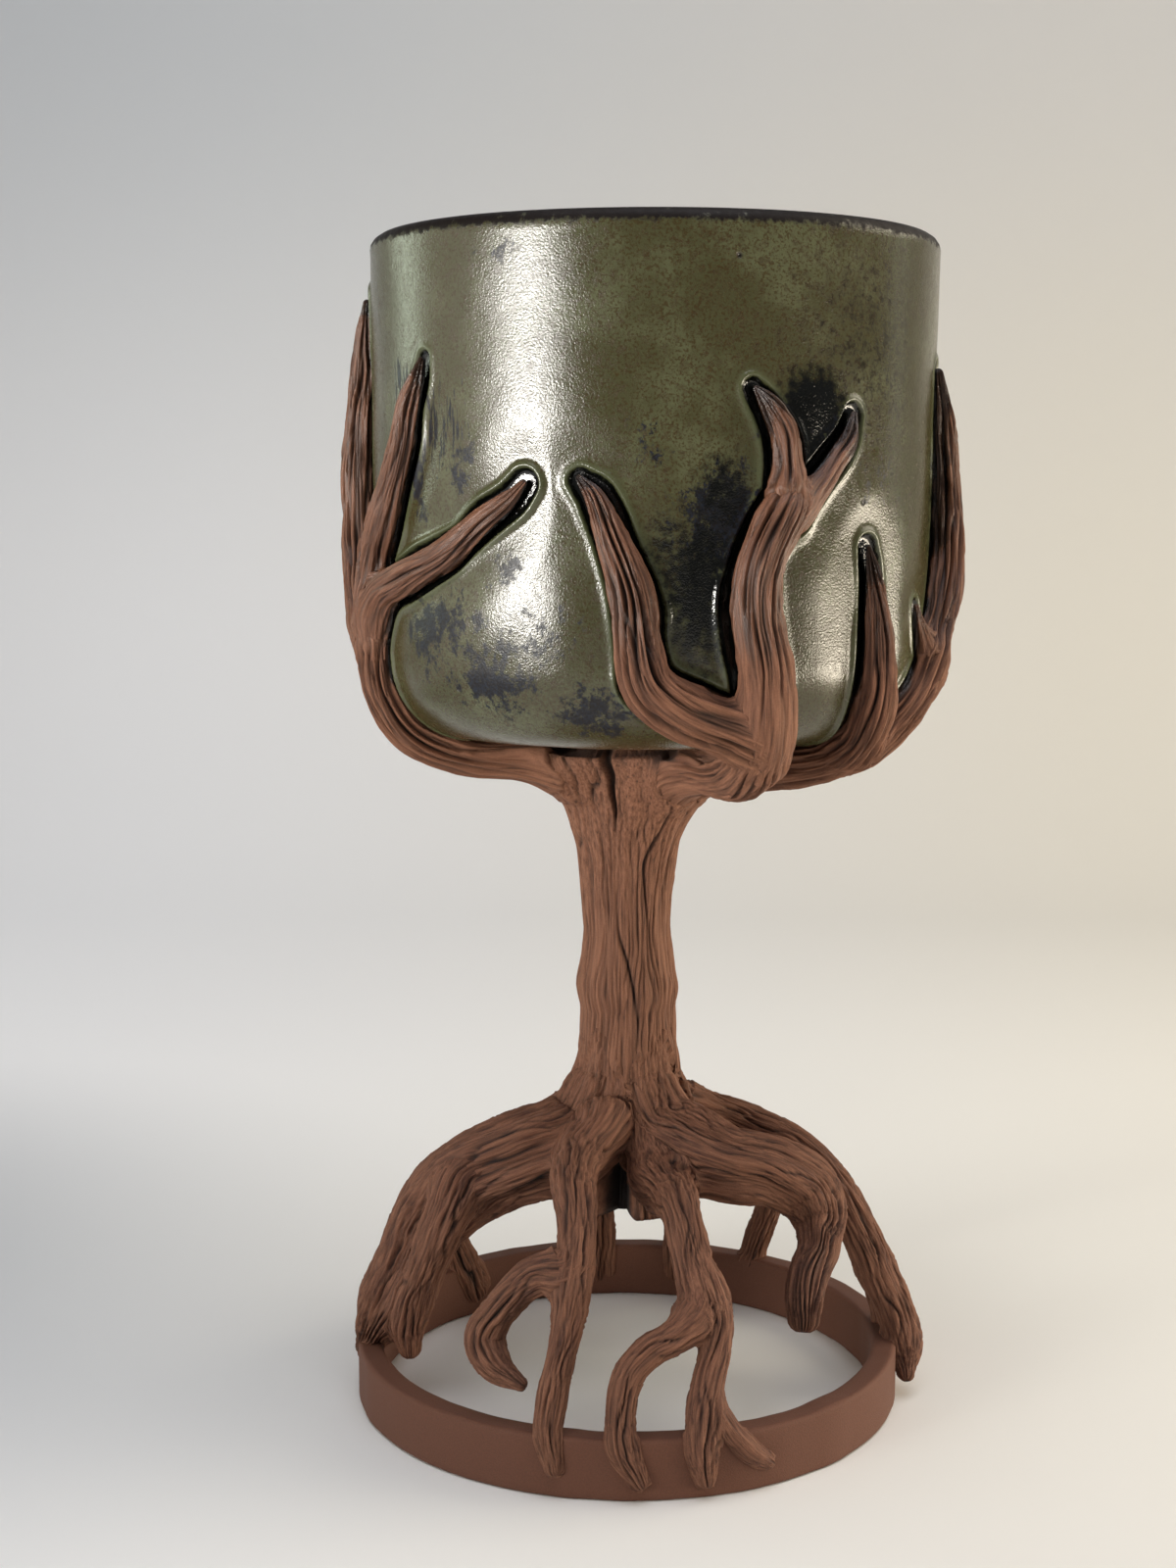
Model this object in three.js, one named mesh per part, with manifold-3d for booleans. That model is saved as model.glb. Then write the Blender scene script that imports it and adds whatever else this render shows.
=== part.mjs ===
// Ceramic chalice: a glazed cup held in the branches of a clay tree, whose roots stand on a ring.
// Millimetres, +Z up. The front is seen along +Y, with +X to the right.
// Each branch and root is a rolled coil of clay, luted to its neighbours with a thin line of slip.
import * as THREE from "three";
import { mergeVertices } from "three/addons/utils/BufferGeometryUtils.js";
import Module from "manifold-3d";

const wasm = await Module();
wasm.setup();

// Cup
const cupRimRadius = 45;
const cupFootRadius = 44; // outer radius where the wall leaves the rounded corner
const cupHeight = 77;
const cupCorner = 12; // outer radius of the corner between base and wall
const cupWall = 4;
const cupFloor = 5;
const cupLean = 4; // the cup's axis stands this far to the right of the trunk's

// Trunk
const stemHeight = 111; // from the table to the underside of the cup
const trunkWaist = 7.4; // radius
const trunkCrown = 20; // radius under the cup
const crownFlare = 36; // height over which the waist opens to the crown
const trunkFoot = 9.5; // radius at the underside
const footFlare = 9; // height over which the foot closes in on the waist
const trunkUnderside = 31; // height of the trunk's lower end
const trunkHollow = 3; // depth of the hollow between the roots

// Foot ring
const ringRadius = 45; // outside
const ringWall = 4;
const ringHeight = 9.5;
const ringEdge = 0.8; // softened top edges

// Rolled coils
const limbThickness = 10;
const branchThickness = 7;
const twigThickness = 4.6;
const rootThickness = 13;
const rootletThickness = 6;
const rootSpring = 50; // height at which the roots leave the trunk
const strandRise = 0.11; // height of a strand on a bundled root, in radii
const jointGap = 0.3; // line of slip between two luted pieces

// Facets
const cupFacets = 48;
const cornerFacets = 5;
const trunkFacets = 24;
const trunkSteps = 12;
const coilSides = 8;
const coilSteps = 2; // between two points of a route
const strandSides = 4; // across one strand of a bundled root
const tipLength = 0.6; // rounding past the end of a coil, in radii

const glazeColour = 0x62664a;
const clayColour = 0x6d4838;

// Solids

// The closed solid of a geometry, from its positions alone
function solidOf(geometry) {
  geometry.deleteAttribute("normal");
  geometry.deleteAttribute("uv");
  const merged = mergeVertices(geometry, 1e-4);
  const corners = merged.index.array;
  const triangles = [];
  for (let i = 0; i < corners.length; i += 3) {
    const [a, b, c] = corners.slice(i, i + 3);
    if (a !== b && b !== c && a !== c) triangles.push(a, b, c);
  }
  const vertProperties = merged.attributes.position.array;
  const triVerts = new Uint32Array(triangles);
  return new wasm.Manifold(new wasm.Mesh({ numProp: 3, vertProperties, triVerts }));
}

function geometryOf(solid) {
  const mesh = solid.getMesh();
  const geometry = new THREE.BufferGeometry();
  geometry.setAttribute("position", new THREE.BufferAttribute(mesh.vertProperties, 3));
  geometry.setIndex(new THREE.BufferAttribute(mesh.triVerts, 1));
  geometry.computeVertexNormals();
  return geometry;
}

// A profile of [radius, height] points turned about an upright axis
function revolve(profile, facets, axisX) {
  const points = profile.map(([radius, height]) => new THREE.Vector2(radius, height));
  const geometry = new THREE.LatheGeometry(points, facets);
  geometry.rotateX(Math.PI / 2);
  geometry.translate(axisX, 0, 0);
  return solidOf(geometry);
}

// A round section of changing radius along a smooth curve through the stations, with rounded ends.
// A bundled root has a number of strands round its section, which follow it from end to end.
function coil(stations, grow, strands = 0) {
  const sides = strands ? strands * strandSides : coilSides;
  const centres = new THREE.CatmullRomCurve3(stations.map((station) => station.point));
  const radii = new THREE.SplineCurve(stations.map((station, i) => new THREE.Vector2(i, station.radius)));
  const steps = (stations.length - 1) * coilSteps;
  const positions = [];
  const faces = [];
  const turn = new THREE.Quaternion();
  const side = new THREE.Vector3();
  let tangent = centres.getTangent(0);
  side.crossVectors(tangent, new THREE.Vector3(-tangent.y, tangent.z, tangent.x)).normalize();
  for (let i = 0; i <= steps; i++) {
    const next = centres.getTangent(i / steps);
    side.applyQuaternion(turn.setFromUnitVectors(tangent, next));
    tangent = next;
    const centre = centres.getPoint(i / steps);
    const radius = radii.getPoint(i / steps).y;
    if (strands) side.set(-centre.y, centre.x, 0).projectOnPlane(tangent).normalize();
    for (let k = 0; k < sides; k++) {
      const angle = (2 * Math.PI * k) / sides;
      const rise = strands ? 1 + strandRise * Math.cos(strands * angle) : 1;
      const spoke = side.clone().applyAxisAngle(tangent, angle);
      positions.push(...spoke.multiplyScalar(radius * rise + grow).add(centre).toArray());
    }
  }
  for (let i = 0; i < steps; i++) {
    for (let k = 0; k < sides; k++) {
      const a = i * sides + k;
      const b = i * sides + ((k + 1) % sides);
      faces.push(a, b, b + sides, a, b + sides, a + sides);
    }
  }
  const start = (steps + 1) * sides;
  const first = stations[0].radius * tipLength + grow;
  const last = stations.at(-1).radius * tipLength + grow;
  positions.push(...centres.getTangent(0).multiplyScalar(-first).add(stations[0].point).toArray());
  positions.push(...centres.getTangent(1).multiplyScalar(last).add(stations.at(-1).point).toArray());
  for (let k = 0; k < sides; k++) {
    const after = (k + 1) % sides;
    const end = steps * sides;
    faces.push(start, after, k, start + 1, end + k, end + after);
  }
  const geometry = new THREE.BufferGeometry();
  geometry.setAttribute("position", new THREE.Float32BufferAttribute(positions, 3));
  geometry.setIndex(faces);
  return solidOf(geometry);
}

// A point at a turn in degrees from the front, to the right, about an upright axis
function around(axisX, turn, radius, height) {
  const angle = THREE.MathUtils.degToRad(turn);
  return new THREE.Vector3(axisX + radius * Math.sin(angle), -radius * Math.cos(angle), height);
}

// Cup

// Outside of the cup from the axis to the rim, grown outwards
function cupOutside(grow) {
  const flat = cupFootRadius - cupCorner;
  const middle = stemHeight + cupCorner;
  const profile = [[0, stemHeight - grow]];
  for (let i = 0; i <= cornerFacets; i++) {
    const angle = (Math.PI / 2) * (i / cornerFacets);
    const reach = cupCorner + grow;
    profile.push([flat + reach * Math.sin(angle), middle - reach * Math.cos(angle)]);
  }
  profile.push([cupRimRadius + grow, stemHeight + cupHeight - cupWall / 2]);
  return profile;
}

// Thrown vessel with an open inside, a rounded corner in and out, and a round lip
function cupSolid() {
  const lip = cupWall / 2;
  const lipMiddle = stemHeight + cupHeight - lip;
  const insideCorner = Math.max(cupCorner - cupWall, lip);
  const insideFloor = stemHeight + cupFloor;
  const insideFoot = cupFootRadius - cupWall;
  const profile = cupOutside(0);
  for (let i = 1; i <= 4; i++) {
    const angle = (Math.PI * i) / 4;
    profile.push([cupRimRadius - lip + lip * Math.cos(angle), lipMiddle + lip * Math.sin(angle)]);
  }
  for (let i = cornerFacets; i >= 0; i--) {
    const angle = (Math.PI / 2) * (i / cornerFacets);
    const radius = insideFoot - insideCorner + insideCorner * Math.sin(angle);
    profile.push([radius, insideFloor + insideCorner - insideCorner * Math.cos(angle)]);
  }
  profile.push([0, insideFloor]);
  return revolve(profile, cupFacets, cupLean);
}

// The room that the cup takes, mouth and all
function cupRoom() {
  const top = stemHeight + cupHeight + jointGap;
  const profile = [...cupOutside(jointGap), [cupRimRadius + jointGap, top], [0, top]];
  return revolve(profile, cupFacets, cupLean);
}

// A point off the cup's outside: 0 to 1 under the base, 1 to 2 round the corner, 2 to 3 up the wall
function onCup(turn, along, lift) {
  const bend = (Math.PI / 2) * THREE.MathUtils.clamp(along - 1, 0, 1);
  const climb = Math.max(along - 2, 0);
  const flat = (cupFootRadius - cupCorner) * Math.min(along, 1);
  const flare = (cupRimRadius - cupFootRadius) * climb;
  const radius = flat + (cupCorner + lift) * Math.sin(bend) + flare;
  const wall = (cupHeight - cupCorner) * climb;
  return around(cupLean, turn, radius, stemHeight + cupCorner - (cupCorner + lift) * Math.cos(bend) + wall);
}

// Trunk

// Solid column that flares to the cup and to the roots, hollowed a little underneath
function trunkSolid(grow) {
  const top = stemHeight - jointGap;
  const bottom = trunkUnderside;
  const outside = [];
  for (let i = 0; i <= trunkSteps; i++) {
    const height = bottom + ((top - bottom) * i) / trunkSteps;
    const foot = (trunkFoot - trunkWaist) * Math.exp((bottom - height) / footFlare);
    const crown = (trunkCrown - trunkWaist) * Math.max(1 - (top - height) / crownFlare, 0) ** 3;
    outside.push([trunkWaist + foot + crown + grow, height]);
  }
  const profile = [
    [0, bottom + trunkHollow - grow],
    [trunkFoot / 2, bottom + trunkHollow / 2 - grow],
    [outside[0][0], bottom - grow],
    ...outside,
    [outside.at(-1)[0], top + grow],
    [0, top + grow],
  ];
  return revolve(profile, trunkFacets, 0);
}

// Foot ring

// Strip of slab bent to a ring, flat underneath and softened along its top edges
function ringSolid(grow) {
  const outside = ringRadius + grow;
  const inside = ringRadius - ringWall - grow;
  const top = ringHeight + grow;
  const bottom = -grow;
  const profile = [
    [inside, bottom],
    [outside, bottom],
    [outside, top - ringEdge],
    [outside - ringEdge, top],
    [inside + ringEdge, top],
    [inside, top - ringEdge],
    [inside, bottom],
  ];
  return revolve(profile, cupFacets, 0);
}

// Branches: points of [turn, along the cup, fullness, lift], with the lift and fullness in shares of the coil
const pressed = 0.65; // usual lift: how far a coil's middle stands off the cup, in radii

const branches = [
  {
    name: "left_limb",
    thickness: limbThickness,
    route: [
      [-62, 0.28, 0.75, 1.45],
      [-65, 0.65, 0.62, 1.35],
      [-67, 1, 0.6, 1.1],
      [-69, 1.4, 0.58, 0.75],
      [-70, 1.75, 0.58, 0.5],
      [-71, 2, 0.58, 0.45],
      [-71, 2.1, 0.55, 0.45],
    ],
  },
  {
    name: "left_outer_branch",
    thickness: branchThickness,
    route: [
      [-73, 1.98, 0.76, 0.5],
      [-81, 2.13, 0.84, 0.8],
      [-88, 2.28, 0.84, 0.95],
      [-90, 2.45, 0.78, 1.05],
      [-90, 2.63, 0.6, 1],
      [-88, 2.79, 0.4, 0.9],
      [-87, 2.86, 0.2, 0.9],
    ],
  },
  {
    name: "left_middle_branch",
    thickness: branchThickness,
    route: [
      [-74, 2.04, 0.8, 0.4],
      [-71, 2.14, 0.8, 0.6],
      [-67.5, 2.245, 0.78],
      [-63, 2.33, 0.74],
      [-58.5, 2.425, 0.64],
      [-55, 2.51, 0.57],
      [-53, 2.595, 0.48],
      [-50.5, 2.65, 0.34],
      [-49.5, 2.69, 0.15],
    ],
  },
  {
    name: "left_inner_branch",
    thickness: branchThickness,
    route: [
      [-69, 2.09, 0.8, 0.5],
      [-63, 2.165, 0.76],
      [-53, 2.21, 0.68],
      [-42, 2.26, 0.58],
      [-33, 2.333, 0.45],
      [-27.5, 2.378, 0.32],
      [-25, 2.41, 0.18],
    ],
  },
  {
    name: "front_limb",
    thickness: limbThickness,
    route: [
      [23, 0.28, 0.85, 1.3],
      [23.5, 0.65, 0.82, 1.1],
      [23, 1, 0.9, 0.8],
      [22, 1.3, 0.96, 0.6],
      [21, 1.5, 0.94],
    ],
  },
  {
    name: "front_main_branch",
    thickness: limbThickness,
    route: [
      [21.5, 1.42, 0.88],
      [20.5, 1.7, 0.84],
      [19.5, 2, 0.78],
      [18, 2.11, 0.71],
      [17.8, 2.195, 0.67],
      [19, 2.26, 0.66],
      [22, 2.335, 0.65],
      [23.5, 2.37, 0.64],
    ],
  },
  {
    name: "front_left_tip",
    thickness: branchThickness,
    route: [
      [23.5, 2.35, 0.7],
      [23.8, 2.4, 0.64],
      [23.8, 2.455, 0.56],
      [23, 2.52, 0.54],
      [21.3, 2.56, 0.46],
      [19.3, 2.595, 0.3],
      [18, 2.613, 0.12],
    ],
  },
  {
    name: "front_right_tip",
    thickness: branchThickness,
    route: [
      [25, 2.34, 0.7],
      [28, 2.375, 0.6],
      [30.5, 2.405, 0.55],
      [34, 2.455, 0.46],
      [37.7, 2.51, 0.38],
      [39.2, 2.563, 0.16],
    ],
  },
  {
    name: "front_left_branch",
    thickness: branchThickness,
    route: [
      [20, 1.5, 1.15],
      [13, 1.62, 1.1],
      [4, 1.77, 1.1],
      [-1, 1.93, 1.03],
      [-3, 2.06, 0.9],
      [-4.5, 2.17, 0.83],
      [-8, 2.29, 0.68],
      [-11, 2.38, 0.45],
      [-14, 2.42, 0.2],
    ],
  },
  {
    name: "right_limb",
    thickness: limbThickness,
    route: [
      [44, 0.28, 0.8, 1.3],
      [46, 0.7, 0.72, 1.2],
      [50, 1.05, 0.66, 0.95],
      [56, 1.35, 0.62, 0.7],
      [62, 1.65, 0.58, 0.5],
      [68, 1.93, 0.56, 0.5],
      [73, 2.08, 0.56, 0.65],
      [78, 2.22, 0.57, 0.8],
      [80, 2.37, 0.54, 0.7],
      [79, 2.55, 0.42, 0.6],
      [77, 2.68, 0.18, 0.5],
    ],
  },
  {
    name: "right_inner_branch",
    thickness: branchThickness,
    route: [
      [51, 1.1, 0.9, 0.9],
      [50, 1.4, 0.86],
      [47.5, 1.65, 0.82],
      [46.5, 1.86, 0.76],
      [46.5, 2.03, 0.66],
      [46, 2.125, 0.54],
      [45.3, 2.215, 0.34],
      [44.3, 2.27, 0.14],
    ],
  },
  {
    name: "right_twig",
    thickness: twigThickness,
    route: [
      [71, 1.9, 0.95],
      [69, 1.97, 0.8],
      [66.5, 2.05, 0.6],
      [64, 2.13, 0.25],
    ],
  },
  {
    name: "back_right_limb",
    thickness: limbThickness,
    route: [
      [128, 0.28, 0.85, 1.3],
      [132, 0.65, 0.84, 1.1],
      [136, 1, 0.84, 1],
      [138, 1.4, 0.85, 0.85],
      [138, 1.75, 0.9],
      [136, 2.02, 0.95],
      [134, 2.12, 0.9],
    ],
  },
  {
    name: "back_right_outer_branch",
    thickness: branchThickness,
    route: [
      [133, 2.08, 1.05],
      [126, 2.2, 0.98],
      [121, 2.34, 0.85],
      [119, 2.48, 0.62],
      [121, 2.6, 0.4],
      [123, 2.65, 0.2],
    ],
  },
  {
    name: "back_right_inner_branch",
    thickness: branchThickness,
    route: [
      [138, 2.02, 1],
      [148, 2.12, 0.95],
      [157, 2.22, 0.85],
      [162, 2.34, 0.62],
      [163, 2.43, 0.4],
      [162, 2.48, 0.2],
    ],
  },
  {
    name: "back_left_limb",
    thickness: limbThickness,
    route: [
      [-140, 0.28, 0.85, 1.3],
      [-146, 0.65, 0.84, 1.1],
      [-151, 1, 0.82, 1],
      [-154, 1.4, 0.84, 0.85],
      [-154, 1.75, 0.9],
      [-152, 2.02, 0.92],
      [-149, 2.2, 0.85],
      [-147, 2.32, 0.8],
    ],
  },
  {
    name: "back_left_upper_branch",
    thickness: branchThickness,
    route: [
      [-148, 2.28, 0.98],
      [-150, 2.4, 0.85],
      [-154, 2.51, 0.65],
      [-158, 2.6, 0.42],
      [-160, 2.65, 0.2],
    ],
  },
  {
    name: "back_left_side_branch",
    thickness: branchThickness,
    route: [
      [-150, 2.05, 0.95],
      [-140, 2.12, 0.9],
      [-131, 2.22, 0.82],
      [-125, 2.35, 0.64],
      [-124, 2.47, 0.42],
      [-125, 2.53, 0.2],
    ],
  },
];

function branchStations({ thickness, route }) {
  return route.map(([turn, along, fullness, lift = pressed]) => {
    const radius = (thickness / 2) * fullness;
    return { point: onCup(turn, along, lift * radius), radius };
  });
}

// Roots: points of [turn, reach from trunk to ring, rise from table to spring, fullness], and any strands
const roots = [
  {
    name: "left_root",
    thickness: rootThickness,
    strands: 6,
    route: [
      [-56, 0.02, 0.9, 0.95],
      [-60, 0.15, 0.86, 1.08],
      [-66, 0.31, 0.825, 1.1],
      [-76, 0.5, 0.745, 1.06],
      [-83, 0.67, 0.6, 0.96],
      [-82, 0.78, 0.43, 0.85],
      [-81, 0.875, 0.31, 0.74],
      [-83, 0.96, 0.17, 0.34],
    ],
  },
  {
    name: "left_root_fork",
    thickness: rootletThickness,
    route: [
      [-68, 0.55, 0.78, 1.2],
      [-66, 0.64, 0.68, 1.15],
      [-66, 0.7, 0.58, 1.1],
      [-69, 0.74, 0.47, 1.02],
      [-72, 0.77, 0.36, 1.05],
      [-73.5, 0.79, 0.27, 0.92],
      [-73, 0.79, 0.2, 0.62],
    ],
  },
  {
    name: "front_left_root",
    thickness: rootletThickness,
    route: [
      [-30, 0, 0.98, 1.2],
      [-21, 0.13, 0.93, 1.4],
      [-24, 0.27, 0.88, 1.35],
      [-20, 0.44, 0.85, 1.15],
      [-13.5, 0.66, 0.75, 0.9],
      [-12.5, 0.8, 0.61, 0.85],
      [-13, 0.87, 0.48, 0.8],
      [-14.7, 0.94, 0.31, 0.7],
      [-15.2, 0.98, 0.2, 0.66],
      [-13.8, 1.02, 0.1, 0.4],
    ],
  },
  {
    name: "hooked_rootlet",
    thickness: rootletThickness,
    route: [
      [-14, 0.76, 0.64, 1.1],
      [-21.5, 0.79, 0.62, 1.03],
      [-29.5, 0.85, 0.51, 1],
      [-32, 0.89, 0.42, 0.95],
      [-28, 0.92, 0.35, 0.83],
      [-22, 0.94, 0.32, 0.4],
    ],
  },
  {
    name: "front_right_root",
    thickness: rootletThickness,
    route: [
      [30, 0, 0.98, 1.1],
      [20, 0.07, 0.89, 1.15],
      [19, 0.22, 0.8, 1.6],
      [18.5, 0.44, 0.785, 1.25],
      [16, 0.63, 0.775, 0.95],
      [16.3, 0.73, 0.67, 0.92],
      [17, 0.8, 0.59, 0.98],
      [17.5, 0.84, 0.53, 1],
    ],
  },
  {
    name: "front_right_root_left_fork",
    thickness: rootletThickness,
    route: [
      [16.5, 0.83, 0.55, 1],
      [11, 0.88, 0.485, 0.88],
      [4.5, 0.905, 0.435, 0.82],
      [0.5, 0.93, 0.37, 0.75],
      [-1, 0.96, 0.27, 0.7],
      [-0.5, 0.99, 0.16, 0.72],
      [2.5, 1.02, 0.07, 0.42],
    ],
  },
  {
    name: "front_right_root_right_fork",
    thickness: rootletThickness,
    route: [
      [19.5, 0.8, 0.6, 0.8],
      [20.5, 0.85, 0.5, 0.8],
      [19.3, 0.89, 0.43, 0.78],
      [16.8, 0.935, 0.35, 0.76],
      [14.8, 0.97, 0.25, 0.8],
      [14.5, 1, 0.15, 0.82],
      [15, 1.02, 0.07, 0.5],
    ],
  },
  {
    name: "side_rootlet",
    thickness: twigThickness,
    route: [
      [16, 0.95, 0.3, 0.62],
      [20, 0.98, 0.21, 0.64],
      [24.5, 1.01, 0.125, 0.66],
      [28, 1.02, 0.085, 0.4],
    ],
  },
  {
    name: "right_root",
    thickness: rootThickness,
    strands: 5,
    route: [
      [42, 0.02, 0.93, 0.84],
      [46, 0.14, 0.88, 0.93],
      [50, 0.36, 0.845, 0.86],
      [61, 0.53, 0.81, 0.83],
      [67, 0.64, 0.74, 0.77],
      [65.5, 0.71, 0.65, 0.62],
      [58.5, 0.755, 0.59, 0.48],
      [50.5, 0.785, 0.53, 0.42],
      [47.5, 0.805, 0.47, 0.4],
      [46.5, 0.815, 0.425, 0.34],
    ],
  },
  {
    name: "back_right_root",
    thickness: rootletThickness,
    route: [
      [104, 0.03, 0.97, 1.1],
      [101, 0.16, 0.94, 1.05],
      [97, 0.36, 0.88, 1],
      [90, 0.59, 0.8, 1.05],
      [88, 0.78, 0.62, 1.06],
      [88, 0.91, 0.42, 1.1],
      [87, 1, 0.26, 1.12],
      [85, 1.04, 0.15, 0.95],
      [82, 1.05, 0.09, 0.5],
    ],
  },
  {
    name: "back_right_rootlet",
    thickness: twigThickness,
    route: [
      [90, 0.88, 0.46, 0.9],
      [95, 0.93, 0.34, 0.85],
      [95, 0.96, 0.23, 0.75],
      [94, 0.97, 0.12, 0.6],
    ],
  },
  {
    name: "far_right_root",
    thickness: rootletThickness,
    route: [
      [138, 0.03, 0.92, 1.4],
      [138, 0.2, 0.88, 1.3],
      [138, 0.45, 0.8, 1.1],
      [137, 0.7, 0.67, 1],
      [139, 0.86, 0.45, 0.85],
      [145, 0.94, 0.28, 0.8],
      [148, 0.96, 0.17, 0.76],
    ],
  },
  {
    name: "far_middle_root",
    thickness: rootletThickness,
    route: [
      [160, 0.03, 0.97, 1.4],
      [162, 0.25, 0.91, 1.3],
      [165, 0.5, 0.82, 1.15],
      [166, 0.74, 0.64, 1.05],
      [166, 0.9, 0.37, 0.95],
      [167, 0.95, 0.1, 0.9],
    ],
  },
  {
    name: "far_root",
    thickness: rootThickness,
    strands: 5,
    route: [
      [186, 0.03, 0.96, 0.72],
      [188, 0.25, 0.91, 0.7],
      [189, 0.5, 0.82, 0.64],
      [189, 0.74, 0.64, 0.56],
      [188, 0.9, 0.37, 0.5],
      [187, 0.95, 0.1, 0.47],
    ],
  },
  {
    name: "far_left_root",
    thickness: rootletThickness,
    route: [
      [-98, 0.03, 0.92, 1.4],
      [-101, 0.25, 0.85, 1.35],
      [-107, 0.5, 0.76, 1.2],
      [-117, 0.74, 0.59, 1.05],
      [-129, 0.9, 0.36, 0.95],
      [-138, 0.95, 0.1, 1.1],
    ],
  },
];

function rootStations({ thickness, route }) {
  return route.map(([turn, reach, rise, fullness]) => {
    const radius = THREE.MathUtils.lerp(trunkWaist, ringRadius, reach);
    return { point: around(0, turn, radius, rise * rootSpring), radius: (thickness / 2) * fullness };
  });
}

// Assembly

const chalice = new THREE.Group();
const rooms = []; // the room that each placed piece takes, with its line of slip

// Cuts a piece back to its neighbours that are already there, and keeps the part that shows
function lute(name, solid, room, material) {
  let rest = solid;
  for (const taken of rooms) rest = rest.subtract(taken);
  const parts = rest.decompose().sort((a, b) => b.volume() - a.volume());
  const mesh = new THREE.Mesh(geometryOf(parts[0]), material);
  mesh.name = name;
  chalice.add(mesh);
  rooms.push(room);
}

function clay() {
  return new THREE.MeshStandardMaterial({ color: clayColour, roughness: 0.85, metalness: 0 });
}

function glaze() {
  return new THREE.MeshStandardMaterial({ color: glazeColour, roughness: 0.25, metalness: 0 });
}

lute("cup", cupSolid(), cupRoom(), glaze());
lute("trunk", trunkSolid(0), trunkSolid(jointGap), clay());
lute("foot_ring", ringSolid(0), ringSolid(jointGap), clay());
for (const branch of branches) {
  const stations = branchStations(branch);
  lute(branch.name, coil(stations, 0), coil(stations, jointGap), clay());
}
for (const root of roots) {
  const stations = rootStations(root);
  lute(root.name, coil(stations, 0, root.strands), coil(stations, jointGap, root.strands), clay());
}

// The origin is on the table, under the middle of the whole chalice
const middle = new THREE.Box3().setFromObject(chalice).getCenter(new THREE.Vector3());
chalice.position.set(-middle.x, -middle.y, 0);

export default chalice;
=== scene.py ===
# A glazed stoneware cup held in the branches of a clay tree, whose roots stand on a ring.
# The looks of the chalice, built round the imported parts. Shapes are worked out in millimetres.
import itertools
import math

import bmesh
import bpy
import numpy as np
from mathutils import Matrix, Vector


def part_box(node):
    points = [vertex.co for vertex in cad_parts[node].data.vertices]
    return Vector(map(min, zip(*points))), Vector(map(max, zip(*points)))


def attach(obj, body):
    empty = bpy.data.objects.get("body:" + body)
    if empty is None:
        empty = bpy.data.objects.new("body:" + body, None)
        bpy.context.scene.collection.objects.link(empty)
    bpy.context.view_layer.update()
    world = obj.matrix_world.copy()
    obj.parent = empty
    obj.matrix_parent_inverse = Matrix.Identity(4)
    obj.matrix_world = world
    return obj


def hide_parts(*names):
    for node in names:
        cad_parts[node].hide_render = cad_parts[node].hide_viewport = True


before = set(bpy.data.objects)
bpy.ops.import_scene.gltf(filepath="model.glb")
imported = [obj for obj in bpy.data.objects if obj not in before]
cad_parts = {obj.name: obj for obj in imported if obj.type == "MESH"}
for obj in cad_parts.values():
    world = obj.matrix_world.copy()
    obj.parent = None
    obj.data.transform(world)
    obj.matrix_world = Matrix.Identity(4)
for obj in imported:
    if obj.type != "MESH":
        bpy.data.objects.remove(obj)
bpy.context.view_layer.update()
print("frame loaded:", len(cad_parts), "parts")

# Sizes read from the parts, in millimetres
mm = 0.001
ringLow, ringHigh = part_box("foot_ring")
cupLow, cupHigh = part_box("cup")
origin = Vector(((ringLow.x + ringHigh.x) / 2, (ringLow.y + ringHigh.y) / 2, 0))  # foot of the trunk's axis
cupLean = ((cupLow.x + cupHigh.x) / 2 - origin.x) / mm  # the cup's axis stands right of the trunk's
cupRim = (cupHigh.x - cupLow.x) / 2 / mm
cupTall = (cupHigh.z - cupLow.z) / mm
stemTop = cupLow.z / mm
ringOut = (ringHigh.x - ringLow.x) / 2 / mm
ringTall = ringHigh.z / mm
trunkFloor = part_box("trunk")[0].z / mm

tiny = 1e-9  # keeps a division from meeting zero
scramble = {  # large odd numbers that mix up the corners of the noise
    "axes": (374761393, 668265263, 1440662683), "seed": 974634571,
    "mix": ((13, 1274126177), (15, 461845907)), "last": 16, "word": 0xffffffff, "half": 32767.5,
}


def smooth(low, high, value):
    share = np.clip((value - low) / (high - low), 0, 1)
    return share * share * (3 - 2 * share)


def unit(vectors):
    return vectors / np.maximum(np.linalg.norm(vectors, axis=-1, keepdims=True), tiny)


def noise(x, y, z, seed):  # smooth random bumps, -1 to 1, one to a unit
    cells = []
    blends = []
    for value in np.broadcast_arrays(x, y, z):
        cell = np.floor(value).astype(np.int64)
        part = value - cell
        cells.append(cell)
        blends.append(part ** 3 * (part * (part * 6 - 15) + 10))
    word = scramble["word"]
    total = 0
    for corner in itertools.product((0, 1), repeat=3):
        key = seed * scramble["seed"]
        share = 1
        for cell, blend, side, prime in zip(cells, blends, corner, scramble["axes"]):
            key = key + (cell + side) * prime
            share = share * (blend if side else 1 - blend)
        key = key & word
        for shift, prime in scramble["mix"]:
            key = ((key ^ (key >> shift)) * prime) & word
        low = (key ^ (key >> scramble["last"])) & (word >> scramble["last"])
        total = total + (low / scramble["half"] - 1) * share
    return total


def addObject(name, data):
    thing = bpy.data.objects.new(name, data)
    bpy.context.scene.collection.objects.link(thing)
    return thing


def makePiece(name, points, faces, values, material, node):
    mesh = bpy.data.meshes.new(name)
    placed = points * mm + np.array(origin)
    mesh.from_pydata(placed.tolist(), [], faces)
    for key, value in values.items():
        kind, field = ("FLOAT_VECTOR", "vector") if value.ndim == 2 else ("FLOAT", "value")
        layer = mesh.attributes.new(key, kind, "POINT")
        layer.data.foreach_set(field, value.astype(np.float32).ravel())
    mesh.shade_smooth()
    mesh.materials.append(material)
    piece = addObject(name, mesh)
    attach(piece, "root")
    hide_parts(node)


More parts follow.
